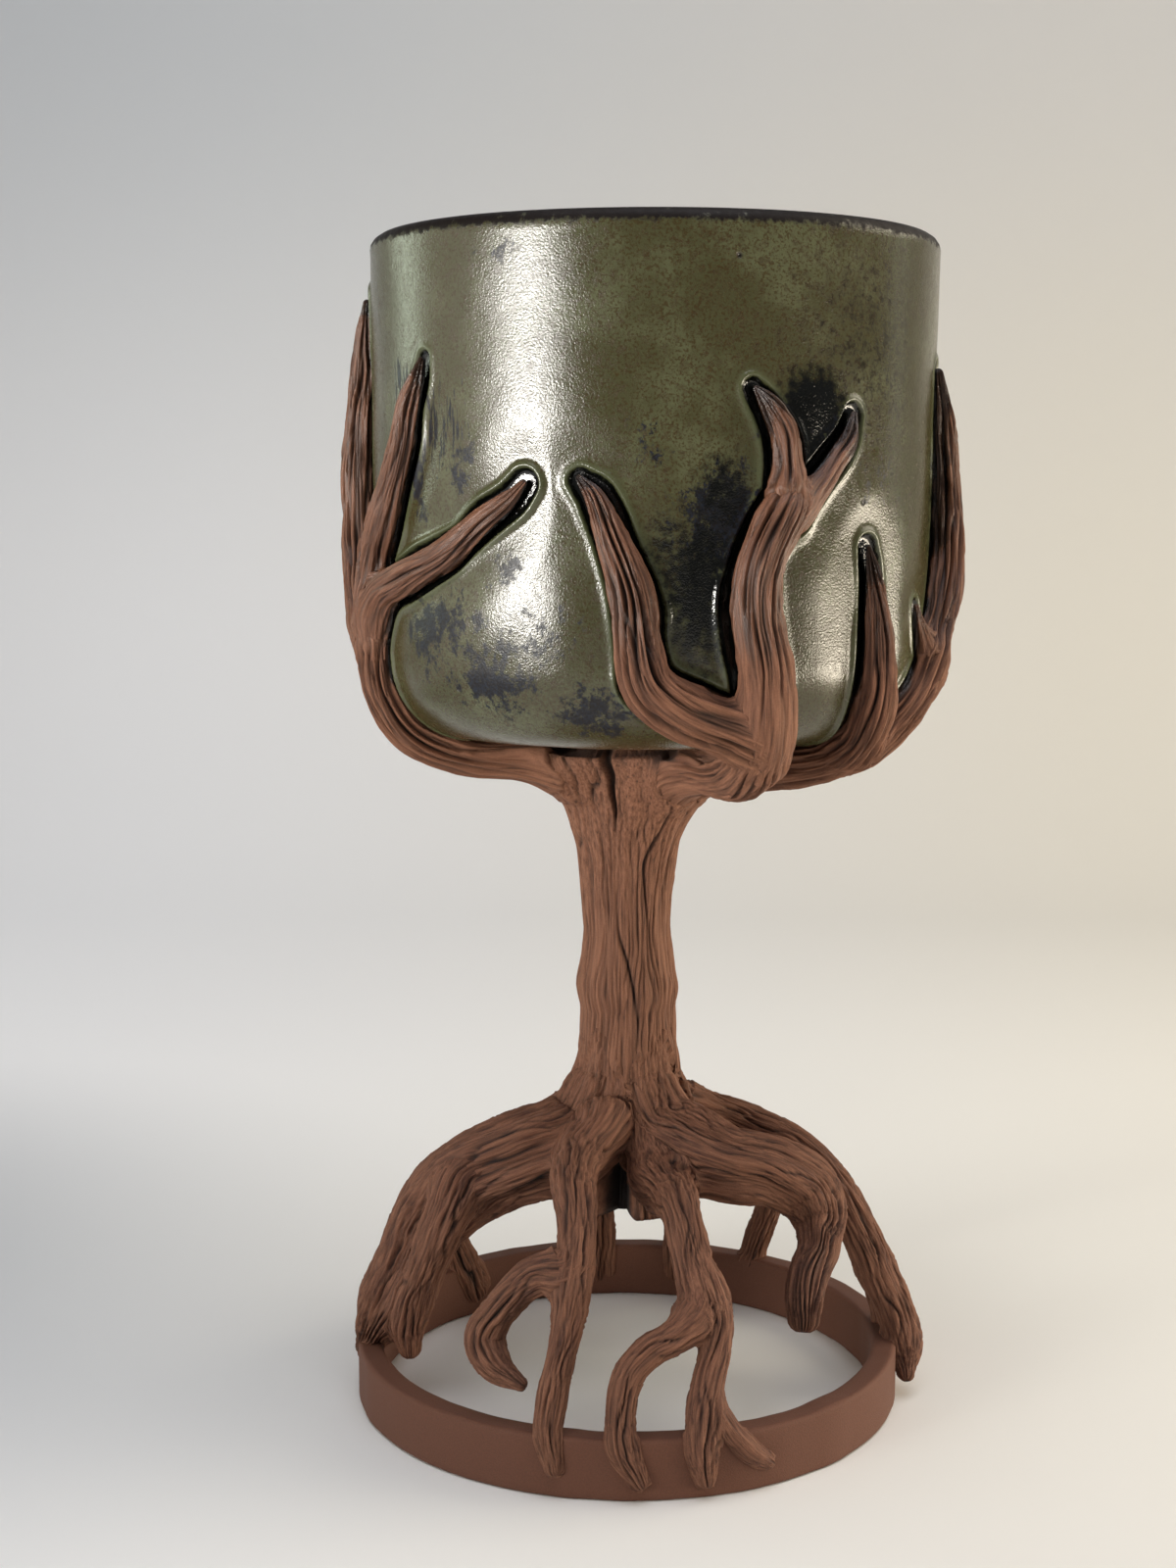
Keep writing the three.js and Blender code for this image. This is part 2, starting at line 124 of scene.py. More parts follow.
def colour(hexCode):  # an sRGB hex value as linear RGBA
    parts = [int(hexCode[i:i + 2], 16) / 255 for i in (1, 3, 5)]
    return [p / 12.92 if p <= 0.04045 else ((p + 0.055) / 1.055) ** 2.4 for p in parts] + [1]


def setInputs(tree, node, inputs):  # links, hex colours or values, for one socket or a tuple of them
    for name, value in inputs.items():
        names, values = (name, value) if isinstance(name, tuple) else ([name], [value])
        for socket, setting in zip(names, values):
            if isinstance(setting, bpy.types.NodeSocket):
                tree.links.new(setting, node.inputs[socket])
            else:
                node.inputs[socket].default_value = colour(setting) if isinstance(setting, str) else setting


def addNode(tree, kind, inputs=None, out=0, **settings):  # gives one of the new node's outputs
    node = tree.nodes.new("ShaderNode" + kind)
    for name, value in settings.items():
        setattr(node, name, value)
    setInputs(tree, node, inputs or {})
    return node.outputs[out]


fromRange = ("From Min", "From Max")
toRange = ("To Min", "To Max")
gently = {"interpolation_type": "SMOOTHSTEP"}


def newMaterial(name):
    material = bpy.data.materials.new(name)
    material.use_nodes = True
    tree = material.node_tree
    return material, tree, tree.nodes["Principled BSDF"]


# Camera: a phone's tele lens close to the chalice, a little above the middle
camera = {"back": 340.3, "height": 142.2, "tilt": 6.75, "turn": 1.09, "lens": 48, "film": 36, "nearest": 10}


def setCamera():
    data = bpy.data.cameras.new("camera")
    data.lens = camera["lens"]
    data.sensor_width = camera["film"]
    data.clip_start = camera["nearest"] * mm
    body = addObject("camera", data)
    body.location = origin + Vector((0, -camera["back"], camera["height"])) * mm
    body.rotation_euler = (math.radians(90 - camera["tilt"]), 0, math.radians(camera["turn"]))
    bpy.context.scene.camera = body


# Stage: one sweep of card, and soft lamps
stage = {"half": 1100, "front": -1300, "back": 700, "bend": 260, "bendSteps": 12, "tall": 1500}
card = {
    # painted light: cool shade at the left, warm light at the right, greyer painted shade on the upper card
    "shadedCool": "#fcfeff", "litWarm": "#e6e2d6", "shadedTopCool": "#d2d7db", "shadedTopWarm": "#d6d6d4",
    "sideFade": (-0.25, 0.25), "topFade": (0.06, 0.42),  # metres
    # painted shadow: a darker patch on the floor at the left
    "paintedShadow": "#989ea5", "paintedShadowAt": (-0.24, 0.05, 0), "paintedShadowSize": (0.24, 0.2, 1),  # a dim patch at the left
    "rough": 0.9,
}
lamps = {  # turn and rise seen from the cup, distance and size in mm, brightness, colour, spread in degrees
    "windowPanel": (-50, 1.5, 700, 290, 105, 58, "#fffcf6", 36),
    "windowEdge": (-48, 1, 710, 400, 150, 9, "#fffaf0", 40),
    "windowGlow": (-72, 2, 720, 1000, 420, 1, "#fffaf2", 110),
    "leftStrip": (-112, 9, 600, 150, 160, 5, "#ecfbe6", 60),
    "rightStrip": (108, 6, 600, 110, 260, 0.8, "#f4f6ea", 180),
    "lowRightPanel": (82, -11.5, 480, 420, 70, 18, "#fff2dc", 180),
    "rightSky": (102, 34, 800, 600, 500, 2.7, "#fff3e0", 180),
    "overheadPanel": (10, 74, 900, 900, 900, 2.4, "#f8f8ff", 180),
}
lampAim = 0.55  # how far up the cup they point
widestBeam = 179.9
room = {"colour": "#cfd0d2", "strength": 0.16}


# Pale card, matt, with painted light: painted shade cooler at the left, painted light warmer at the right,
# painted shade greyer towards the top, and a painted shadow at the left
def cardPale():
    material, tree, shader = newMaterial("paleCard")
    place = addNode(tree, "TexCoord", out="Object")
    across = addNode(tree, "SeparateXYZ", {"Vector": place}, out="X")
    up = addNode(tree, "SeparateXYZ", {"Vector": place}, out="Z")
    side = addNode(tree, "MapRange", {"Value": across, fromRange: card["sideFade"]}, **gently)
    high = addNode(tree, "MapRange", {"Value": up, fromRange: card["topFade"]}, **gently)
    low = addNode(tree, "MixRGB", {"Fac": side, "Color1": card["shadedCool"], "Color2": card["litWarm"]})
    top = addNode(tree, "MixRGB", {"Fac": side, "Color1": card["shadedTopCool"], "Color2": card["shadedTopWarm"]})
    tone = addNode(tree, "MixRGB", {"Fac": high, "Color1": low, "Color2": top})
    away = addNode(tree, "VectorMath", {0: place, 1: card["paintedShadowAt"]}, operation="SUBTRACT")
    away = addNode(tree, "VectorMath", {0: away, 1: card["paintedShadowSize"]}, operation="DIVIDE")
    away = addNode(tree, "VectorMath", {0: away}, out="Value", operation="LENGTH")
    # painted shadow on the floor at the left
    paintedShadowShare = addNode(tree, "MapRange", {"Value": away, toRange: (1, 0)}, **gently)
    tone = addNode(tree, "MixRGB", {"Fac": paintedShadowShare, "Color1": tone, "Color2": card["paintedShadow"]})
    setInputs(tree, shader, {"Base Color": tone, "Roughness": card["rough"]})
    return material


def setStage():
    bend = stage["bend"]
    profile = [(stage["front"], 0), (stage["back"] - bend, 0)]
    for turn in np.linspace(0, math.pi / 2, stage["bendSteps"] + 1)[1:]:
        profile.append((stage["back"] - bend * (1 - math.sin(turn)), bend * (1 - math.cos(turn))))
    profile.append((stage["back"], stage["tall"]))
    points = [Vector((x, y, z)) * mm for y, z in profile for x in (-stage["half"], stage["half"])]
    faces = [(i, i + 1, i + 3, i + 2) for i in range(0, len(points) - 2, 2)]
    mesh = bpy.data.meshes.new("sweep")
    mesh.from_pydata(points, [], faces)
    mesh.shade_smooth()
    mesh.materials.append(cardPale())
    sweep = addObject("sweep", mesh)


def setLamps():
    aim = Vector((origin.x, origin.y, (stemTop + cupTall * lampAim) * mm))
    for name, (turn, rise, away, wide, tall, bright, tint, spread) in lamps.items():
        data = bpy.data.lights.new(name, "AREA")
        data.shape = "RECTANGLE"
        data.size = wide * mm
        data.size_y = tall * mm
        half = math.radians(min(spread, widestBeam)) / 2
        beam = 1 - half / math.tan(half)  # a narrow lamp looks as bright as a wide one
        data.energy = bright * math.pi * data.size * data.size_y * beam
        data.color = colour(tint)[:3]
        data.spread = math.radians(spread)
        lamp = addObject(name, data)
        angle = math.radians(turn)
        lift = math.radians(rise)
        way = Vector((math.sin(angle) * math.cos(lift), -math.cos(angle) * math.cos(lift), math.sin(lift)))
        lamp.location = aim + way * away * mm
        lamp.rotation_euler = way.to_track_quat("Z", "Y").to_euler()
        lamp.visible_camera = False
    world = bpy.data.worlds.new("room")
    world.use_nodes = True
    light = world.node_tree.nodes["Background"]
    setInputs(world.node_tree, light, {"Color": room["colour"], "Strength": room["strength"]})
    bpy.context.scene.world = world
    bpy.context.scene.view_settings.view_transform = "Standard"


# Red stoneware, rolled, scored with a needle tool and fired bare: matt and dry, with a painted highlight
# that makes the ridges paler and painted shade nearly black down the cracks, with a dark gloss where glaze
# has run on to it.
clay = {
    "body": "#704730",
    "ridgeHighlight": "#8e6047",
    # painted shade down the cracks and fine lines
    "crack": "#180d08",
    "toasted": "#4c2819",
    "glassy": "#16110d",
    "score": 0.38,  # mm across one scored line
    "scoreLong": 8,
    "grit": 0.22,  # grog grains
    "patch": 14,  # flame marks
    "patchRange": (0.4, 0.65),
    "patchShare": 0.4,
    "ridgeRange": (0.3, 0.7),
    "ridgeToasted": 0.5,  # how pale a ridge stays where the fire toasted it
    "gritRange": (0.3, 0.75),
    "gritTone": (0.86, 1.12),
    "hairRange": (0.27, 0.39),  # fine dark lines of painted shade between the deeper lines
    "hairShare": 0.75,
    "filledRange": (0, 0.5),  # glaze lies in the lines and thins out on the ridges
    "filledShare": (0.3, 1),
    "dippedRange": (0.5, 0.8),
    "wetRange": (0.2, 0.7),
    "rough": (0.78, 0.22),  # bare, and where glaze coats it
    "ior": 1.5,
    "scoreBump": (0.8, 0.3 * mm),
    "gritBump": (0.5, 0.16 * mm),
}
bumpSize = ("Strength", "Distance")


def stonewareBare():
    material, tree, shader = newMaterial("redStonewareScored")
    place = addNode(tree, "TexCoord", out="Object")
    grain = addNode(tree, "Attribute", out="Vector", attribute_name="grain")
    creviceShade, glassy, toast = [
        addNode(tree, "Attribute", out="Fac", attribute_name=key) for key in ("creviceShade", "glassy", "toast")
    ]
    drawn = (1, 1, clay["score"] / clay["scoreLong"])
    along = addNode(tree, "VectorMath", {0: grain, 1: drawn}, operation="MULTIPLY")
    score, grit, patch = [
        addNode(
            tree, "TexNoise",
            {"Vector": at, "Scale": 1 / (clay[key] * mm), "Detail": detail, "Roughness": rough}, out="Fac",
        )
        for key, at, detail, rough in (
            ("score", along, 3, 0.6), ("grit", place, 2, 0.5), ("patch", place, 3, 0.5),
        )
    ]
    flame, ridgeHighlight, paler, speckled, fineLineShade, filled, dipped, rough = [
        addNode(tree, "MapRange", {"Value": value, fromRange: start, toRange: end}, **how)
        for value, start, end, how in (
            (patch, clay["patchRange"], (0, clay["patchShare"]), gently),
            (score, clay["ridgeRange"], (0, 1), gently),
            (toast, (0, 1), (1, clay["ridgeToasted"]), {}),
            (grit, clay["gritRange"], clay["gritTone"], {}),
            (score, clay["hairRange"], (clay["hairShare"], 0), {}),
            (creviceShade, clay["filledRange"], clay["filledShare"], {}),
            (glassy, clay["dippedRange"], (0, 1), gently),
            (glassy, clay["wetRange"], clay["rough"], {}),
        )
    ]
    toasted = addNode(tree, "Math", {0: flame, 1: toast}, operation="ADD", use_clamp=True)
    ridgeHighlight = addNode(tree, "Math", {0: ridgeHighlight, 1: paler}, operation="MULTIPLY")
    shadedLines = addNode(tree, "Math", {0: creviceShade, 1: fineLineShade}, operation="MAXIMUM")
    filled = addNode(tree, "Math", {0: filled, 1: dipped}, operation="MAXIMUM")
    coat = addNode(tree, "Math", {0: glassy, 1: filled}, operation="MULTIPLY")
    # painted highlight on the ridges, painted shade in the cracks and fine lines
    tone = clay["body"]
    for share, over, how in (
        (toasted, clay["toasted"], "MIX"), (ridgeHighlight, clay["ridgeHighlight"], "MIX"), (1, speckled, "MULTIPLY"),
        (shadedLines, clay["crack"], "MIX"), (coat, clay["glassy"], "MIX"),
    ):
        tone = addNode(tree, "MixRGB", {"Fac": share, "Color1": tone, "Color2": over}, blend_type=how)
    skin = addNode(tree, "Bump", {"Height": score, bumpSize: clay["scoreBump"]})
    skin = addNode(tree, "Bump", {"Height": grit, bumpSize: clay["gritBump"], "Normal": skin})
    setInputs(tree, shader, {"Base Color": tone, "Roughness": rough, "IOR": clay["ior"], "Normal": skin})
    return material


# Iron-bearing olive glaze, dipped and fired glossy: khaki mottled brown, breaking blue-black in ragged
# flecks, pooled black-green beside the branches with painted shade there and in the hollows, and a glassy
# bead where it stops short of the clay.
glaze = {
    "olive": "#434229",
    "sage": "#56583e",
    "rust": "#38280f",
    "fleck": "#130d0a",
    "slate": "#1c212c",
    # pooled glaze, with painted shade beside the branches and in the hollows
    "poolAndShade": "#080907",
    "bead": "#51563b",
    "rimBare": "#120b08",
    "cloud": 16,  # mm across the broad mottling
    "mottle": 1.3,
    "speck": 0.4,
    "tear": 2.6,  # ragged flecks
    "tearLong": 3.25,
    "streak": 0.65,  # dark runs below the rim of a branch
    "streakLong": 6,
    "orangePeel": 1.6,
    "grain": 0.3,
    "pinholeApart": 13,
    "sageRange": (0.45, 0.68),
    "rustRange": (0.46, 0.68),
    "rustShare": 0.55,
    "speckRange": (0.5, 0.6),
    "speckShare": 0.75,
    "slateRange": (0.42, 0.62),
    "fleckRange": (0.8, 0.835),
    "streakRange": (0.92, 0.96),
    "poolAndShadeRange": (0.7, 1.15),
    "rimRange": (0.95, 1.2),
    "pinholeRange": (0.02, 0.045),
    "dullRange": (0.3, 0.7),
    "rough": (0.13, 0.32),
    "fleckRougher": 0.16,
    "rimRougher": 0.3,
    "poolSmoother": 0.3,
    "rimGloss": (0.5, 0.12),
    "fleckGloss": 0.6,
    "ior": 1.62,
    "peelBump": (0.12, 0.12 * mm),
    "grainBump": (0.6, 0.07 * mm),
    "pinholeBump": (0.6, 0.2 * mm),
}


def glazeNoises(tree, place):
    noises = {}
    for key, detail, rough, drawn in (
        ("cloud", 4, 0.65, 1), ("mottle", 8, 0.65, 1), ("speck", 3, 0.65, 1), ("orangePeel", 2, 0.65, 1),
        ("grain", 1, 0.65, 1), ("tear", 10, 0.8, glaze["tear"] / glaze["tearLong"]),
        ("streak", 5, 0.65, glaze["streak"] / glaze["streakLong"]),
    ):
        stretch = (1, 1, drawn)  # glaze runs down
        at = addNode(tree, "VectorMath", {0: place, 1: stretch}, operation="MULTIPLY")
        noises[key] = addNode(
            tree, "TexNoise",
            {"Vector": at, "Scale": 1 / (glaze[key] * mm), "Detail": detail, "Roughness": rough}, out="Fac",
        )
    return noises


def glazeMasks(tree, place, noises):
    masks = {}
    for key, source, share, how in (
        ("sage", "cloud", 1, gently), ("rust", "mottle", glaze["rustShare"], gently),
        ("speck", "speck", glaze["speckShare"], gently), ("slate", "speck", 1, {}),
    ):
        masks[key] = addNode(
            tree, "MapRange",
            {"Value": noises[source], fromRange: glaze[key + "Range"], "To Max": share}, **how,
        )
    for key, source, how in (
        ("fleck", "tear", {}), ("streak", "streak", {}),
        ("poolAndShade", "mottle", gently), ("rim", "mottle", gently),
    ):
        given = addNode(tree, "Attribute", out="Fac", attribute_name=key)
        total = addNode(tree, "Math", {0: noises[source], 1: given}, operation="ADD")
        masks[key] = addNode(tree, "MapRange", {"Value": total, fromRange: glaze[key + "Range"]}, **how)
    masks["bead"] = addNode(tree, "Attribute", out="Fac", attribute_name="bead")
    masks["fleck"] = addNode(tree, "Math", {0: masks["fleck"], 1: masks["streak"]}, operation="MAXIMUM")
    holes = addNode(
        tree, "TexVoronoi", {"Vector": place, "Scale": 1 / (glaze["pinholeApart"] * mm)}, out="Distance"
    )
    masks["pinhole"] = addNode(
        tree, "MapRange", {"Value": holes, fromRange: glaze["pinholeRange"], toRange: (1, 0)}
    )
    return masks


def glazeOlive():
    material, tree, shader = newMaterial("oliveIronGlaze")
    place = addNode(tree, "TexCoord", out="Object")
    noises = glazeNoises(tree, place)
    masks = glazeMasks(tree, place, noises)
    fleckTone = addNode(
        tree, "MixRGB", {"Fac": masks["slate"], "Color1": glaze["fleck"], "Color2": glaze["slate"]}
    )
    tone = glaze["olive"]
    for key, over in (
        ("sage", glaze["sage"]), ("rust", glaze["rust"]), ("speck", glaze["rust"]), ("bead", glaze["bead"]),
        ("fleck", fleckTone), ("poolAndShade", glaze["poolAndShade"]), ("rim", glaze["rimBare"]),
        ("pinhole", glaze["fleck"]),
    ):
        tone = addNode(tree, "MixRGB", {"Fac": masks[key], "Color1": tone, "Color2": over})
    rough = addNode(
        tree, "MapRange",
        {"Value": noises["mottle"], fromRange: glaze["dullRange"], toRange: glaze["rough"]},
    )
    for key, how, change in (
        ("fleck", "ADD", (0, glaze["fleckRougher"])), ("rim", "ADD", (0, glaze["rimRougher"])),
        ("poolAndShade", "MULTIPLY", (1, glaze["poolSmoother"])),
    ):
        change = addNode(tree, "MapRange", {"Value": masks[key], toRange: change})
        rough = addNode(tree, "Math", {0: rough, 1: change}, operation=how)
    gloss = addNode(tree, "MapRange", {"Value": masks["rim"], toRange: glaze["rimGloss"]})
    fainter = addNode(tree, "MapRange", {"Value": masks["fleck"], toRange: (1, glaze["fleckGloss"])})
    gloss = addNode(tree, "Math", {0: gloss, 1: fainter}, operation="MULTIPLY")
    skin = addNode(tree, "Bump", {"Height": noises["orangePeel"], bumpSize: glaze["peelBump"]})
    skin = addNode(tree, "Bump", {"Height": noises["grain"], bumpSize: glaze["grainBump"], "Normal": skin})
    skin = addNode(
        tree, "Bump",
        {"Height": masks["pinhole"], bumpSize: glaze["pinholeBump"], "Normal": skin}, invert=True,
    )
    setInputs(tree, shader, {
        "Base Color": tone, "Roughness": rough, "IOR": glaze["ior"],
        "Specular IOR Level": gloss, "Normal": skin,
    })
    return material


# The cup's outside, as the branches feel it
cup = {"foot": 44, "corner": 12, "wall": 4, "floor": 5, "lip": 2}


def onCup(turn, along, lift):  # 0 to 1 under the base, to 2 round the corner, to 3 up the wall
    bend = math.pi / 2 * min(max(along - 1, 0), 1)
    climb = max(along - 2, 0)
    out = (cup["foot"] - cup["corner"]) * min(along, 1)
    out += (cup["corner"] + lift) * math.sin(bend) + (cupRim - cup["foot"]) * climb
    height = stemTop + cup["corner"] - (cup["corner"] + lift) * math.cos(bend)
    height += (cupTall - cup["corner"]) * climb
    angle = math.radians(turn)
    return cupLean + out * math.sin(angle), -out * math.cos(angle), height


def cupGap(points):  # distance outside the cup, and the way out
    across = points[:, :2] - np.array([cupLean, 0])
    out = np.linalg.norm(across, axis=1)
    high = points[:, 2] - stemTop - cup["corner"]
    climb = np.clip(high / (cupTall - cup["corner"]), 0, 1)
    wide = cup["foot"] + (cupRim - cup["foot"]) * climb - cup["corner"]
    edge = np.maximum(out - wide, 0)
    down = np.minimum(high, 0)
    gap = np.where(out > wide, np.hypot(edge, down), -down) - cup["corner"]
    way = np.column_stack([across / np.maximum(out, tiny)[:, None] * edge[:, None], down])
    return gap, unit(way)


# Rolled coils of clay: branches run over the cup, roots from the trunk to the ring
coil = {
    "rowStep": 0.75,  # mm between rings of points along a coil
    "columnStep": 0.19,  # mm round it, fine enough for the scored lines
    "leastRows": 6,
    "leastColumns": 24,
    "spanSteps": 20,  # in each span of a route
    "capRings": 3,  # over a rounded tip
    "girthAt": 70,  # percentile of its radius that sets the columns
    "firstSide": (0.3, -1.0, 0.2),  # a way that no coil starts along
    "uneven": 0.07,  # how far hand rolling leaves it off a true round, in radii
    "unevenRound": 1.1,  # bumps to a radius
    "unevenLong": 8,  # mm along a bump
    "strandRise": 0.11,  # how far a strand stands up on a bundled root, in radii
    "pressed": 0.65,  # how far a coil's middle stands off the cup, in radii
    "spring": 50,  # height that the roots spring from
    "luteBack": 2.5,  # how far back in its parent a fork starts, in radii
    "luteSize": 0.6,
    "reach": 9,  # mm within which two coils feel each other
}
draws = {  # added to a limb's seed, so that no two random draws are alike
    "depth": 2, "lump": 3, "uneven": 5, "crest": 6, "level": 7, "creep": 9, "lines": 20,
}


def curveThrough(stations):  # a smooth path through x, y, z, radius, sampled evenly by length
    points = np.array(stations, float)
    ends = np.vstack([2 * points[0] - points[1], points, 2 * points[-1] - points[-2]])
    share = np.linspace(0, 1, coil["spanSteps"], endpoint=False)[:, None]
    spans = []
    for before, start, end, after in zip(ends, ends[1:], ends[2:], ends[3:]):
        pairs = ((before, start), (start, end), (end, after))
        gaps = [math.sqrt(max(np.linalg.norm((b - a)[:3]), tiny)) for a, b in pairs]
        leave = (start - before) / gaps[0] - (end - before) / (gaps[0] + gaps[1]) + (end - start) / gaps[1]
        arrive = (end - start) / gaps[1] - (after - start) / (gaps[1] + gaps[2]) + (after - end) / gaps[2]
        leave, arrive = leave * gaps[1], arrive * gaps[1]
        cubic = 2 * (start - end) + leave + arrive
        square = 3 * (end - start) - 2 * leave - arrive
        spans.append(start + share * (leave + share * (square + share * cubic)))
    path = np.vstack(spans + [points[-1:]])
    run = np.concatenate([[0], np.cumsum(np.linalg.norm(np.diff(path[:, :3], axis=0), axis=1))])
    rows = max(int(run[-1] / coil["rowStep"]), coil["leastRows"])
    at = np.linspace(0, run[-1], rows + 1)
    return np.column_stack([np.interp(at, run, path[:, i]) for i in range(4)]), at


def makeLimb(name, stations, kind, seed, strandCount=0):
    path, run = curveThrough(stations)
    centre = path[:, :3]
    ahead = unit(np.gradient(centre, axis=0))
    side = np.zeros_like(centre)
    start = np.array(coil["firstSide"])
    for i, way in enumerate(ahead):  # carry one side along without twisting it
        start = unit(start - way * (start @ way))
        side[i] = start
    if strandCount:  # a bundle keeps its strands on the same sides all the way
        about = np.column_stack([-centre[:, 1], centre[:, 0], 0 * centre[:, 0]])
        side = unit(about - ahead * (about * ahead).sum(1)[:, None])
    return {
        "name": name, "centre": centre, "radius": path[:, 3], "run": run, "ahead": ahead,
        "side": side, "over": np.cross(ahead, side), "seed": seed, "kind": kind, "bark": barks[kind],
        "strands": strandCount,
        "near": nearTrunk if kind == "trunk" else nearLimb,
        "low": (centre - path[:, 3:]).min(0), "high": (centre + path[:, 3:]).max(0),
    }


def angleOn(limb, row, away):  # angle round a limb
    index = np.round(row).astype(int)
    return np.arctan2((away * limb["over"][index]).sum(1), (away * limb["side"][index]).sum(1))


def nearLimb(limb, points):  # distance outside a limb, way out, place along it and angle round it
    centre, radius = limb["centre"], limb["radius"]
    apart = (points ** 2).sum(1)[:, None] + (centre ** 2).sum(1) - 2 * points @ centre.T
    nearest = np.argmin(np.sqrt(np.maximum(apart, 0)) - radius, axis=1)
    best = []
    for first in (nearest - 1, nearest):
        first = np.clip(first, 0, len(centre) - 2)
        start, step = centre[first], centre[first + 1] - centre[first]
        share = np.clip(((points - start) * step).sum(1) / (step ** 2).sum(1), 0, 1)
        away = points - start - step * share[:, None]
        gap = np.linalg.norm(away, axis=1) - radius[first] * (1 - share) - radius[first + 1] * share
        best.append((gap, away, first + share))
    closer = best[1][0] < best[0][0]
    gap = np.where(closer, best[1][0], best[0][0])
    away = np.where(closer[:, None], best[1][1], best[0][1])
    row = np.where(closer, best[1][2], best[0][2])
    angle = angleOn(limb, row, away)
    run = np.interp(row, np.arange(len(centre)), limb["run"])
    return gap - radius[np.round(row).astype(int)] * uneven(limb, angle, run), unit(away), row, angle


def uneven(limb, angle, run):  # how far a rolled coil stands off a true round, in radii
    x, y = np.cos(angle) * coil["unevenRound"], np.sin(angle) * coil["unevenRound"]
    off = coil["uneven"] * noise(x, y, run / coil["unevenLong"], limb["seed"] + draws["uneven"])
    if limb["strands"]:
        off = off + coil["strandRise"] * np.cos(limb["strands"] * angle)
    return off


def nearTrunk(limb, points):  # the same for the trunk, whose crown flares too fast for a coil
    centre, radius = limb["centre"], limb["radius"]
    levels, down = -centre[:, 2], -points[:, 2]
    row = np.interp(down, levels, np.arange(len(levels)))
    wide = np.interp(down, levels, radius) * (1 - archScoop(points))
    slope = np.interp(down, levels, np.gradient(radius, centre[:, 2]))
    out = np.hypot(points[:, 0], points[:, 1])
    steep = 1 / np.sqrt(1 + slope ** 2)
    ends = np.maximum(points[:, 2] - centre[0, 2], centre[-1, 2] - points[:, 2])
    gap = np.maximum((out - wide) * steep, ends)
    spoke = points[:, :2] / np.maximum(out, tiny)[:, None]
    way = np.column_stack([spoke * steep[:, None], -slope * steep])
    away = np.column_stack([points[:, :2], 0 * out])
    return gap, unit(way), row, angleOn(limb, row, away)


# How each kind of limb was scored with a needle: spacing and length of the folds and of the finer lines,
# how far folds stand up and cracks cut in, all in mm
barks = {
    "trunk": {"foldApart": 2.4, "foldLong": 24, "foldHigh": 0.26, "crack": 0.7, "crackWide": 0.19,
              "lineApart": 0.8, "lineLong": 11, "lineHigh": 0.2, "lump": 0.25, "warp": 1, "toast": 0.45},
    "branch": {"foldApart": 1.5, "foldLong": 15, "foldHigh": 0.85, "crack": 0.95, "crackWide": 0.2,
               "lineApart": 0.52, "lineLong": 10, "lineHigh": 0.4, "lump": 0.28, "warp": 0.9, "toast": 0},
    "root": {"foldApart": 1.3, "foldLong": 6.5, "foldHigh": 0.42, "crack": 0.6, "crackWide": 0.16,
             "lineApart": 0.56, "lineLong": 3.6, "lineHigh": 0.3, "lump": 0.4, "warp": 1, "toast": 0.45},
    "ring": {"crack": 0, "lump": 0.12, "toast": 1},
}
comb = {  # how the needle's lines wander and how the clay between them lies
    "fewest": 5,
    "wander": ((1, 2.8, 1, 0), (0.35, 1.2, 2.4, 1)),  # share, width in spacings, speed along, draw
    "depth": (7.31, 1.2),  # how unlike the next line it is, and speed along
    "crest": (5.17, 0.7),
    "level": (3.73, 0.9),
    "depthRange": (-0.55, 0.45),
    "crestShift": 0.36,
    "round": 1.5,
    "middle": 0.6,
    "stagger": 0.5,
    "staggerRange": (0, 0.35),
}
barkMix = {  # what all kinds of bark share
    "lumpWide": 4.5, "lumpLong": 7,  # mm across the broad lumps
    "scratchWide": 0.7, "scratchDeep": 0.4,  # a fine line beside a crack
    # painted shade in the valleys between folds
    "valley": 0.4, "valleyRange": (0.05, -0.5),
    "faintest": 0.3,  # relief that is left where the lines are shallow
    "fullRadius": 2.6, "thinnest": 0.2,  # thinner coils have finer bark
    # painted shade down the cracks and scratches, and the least share of it kept where the bark is smooth
    "crackDark": 0.9, "scratchDark": 0.5, "smoothDark": 0.1,
    "rootRange": (10, -8), "rootLeast": 0.3,  # heights over the spring
    "tipRange": (4, 18), "forkRange": (18, 34), "endRange": (1, 9), "branchLeast": 0.2,  # mm along a branch
}


def scored(turn, run, radius, apart, long, warp, seed):
    # distance from the nearest combed line, how deep it is, and the strand of clay between two lines,
    # which is steeper on one side and lies higher or lower than the next
    count = max(round(2 * math.pi * np.median(radius) / apart), comb["fewest"])
    x, y = np.cos(turn) * radius / apart, np.sin(turn) * radius / apart
    along = run / long
    phase = turn / (2 * math.pi) * count
    for share, wide, fast, draw in comb["wander"]:
        phase = phase + share * warp * noise(x / wide, y / wide, along * fast, seed + draw)
    line, strand = np.round(phase), np.floor(phase)
    drawn = {}
    for key, place in (("depth", line), ("crest", strand), ("level", strand)):
        unlike, fast = comb[key]
        drawn[key] = noise(place % count * unlike, along * fast, 0.5, seed + draws[key])
    deep = smooth(*comb["depthRange"], drawn["depth"])
    crest = 0.5 + comb["crestShift"] * drawn["crest"]
    share = phase - strand
    slope = np.where(share < crest, (crest - share) / crest, (share - crest) / (1 - crest))
    swell = 1 - slope ** comb["round"]
    level = comb["stagger"] * drawn["level"] * smooth(*comb["staggerRange"], swell)
    off = np.abs(phase - line) * 2 * math.pi * radius / count
    return off, deep, swell - comb["middle"] + level


def partly(least, share):  # from least up to 1
    return least + (1 - least) * share


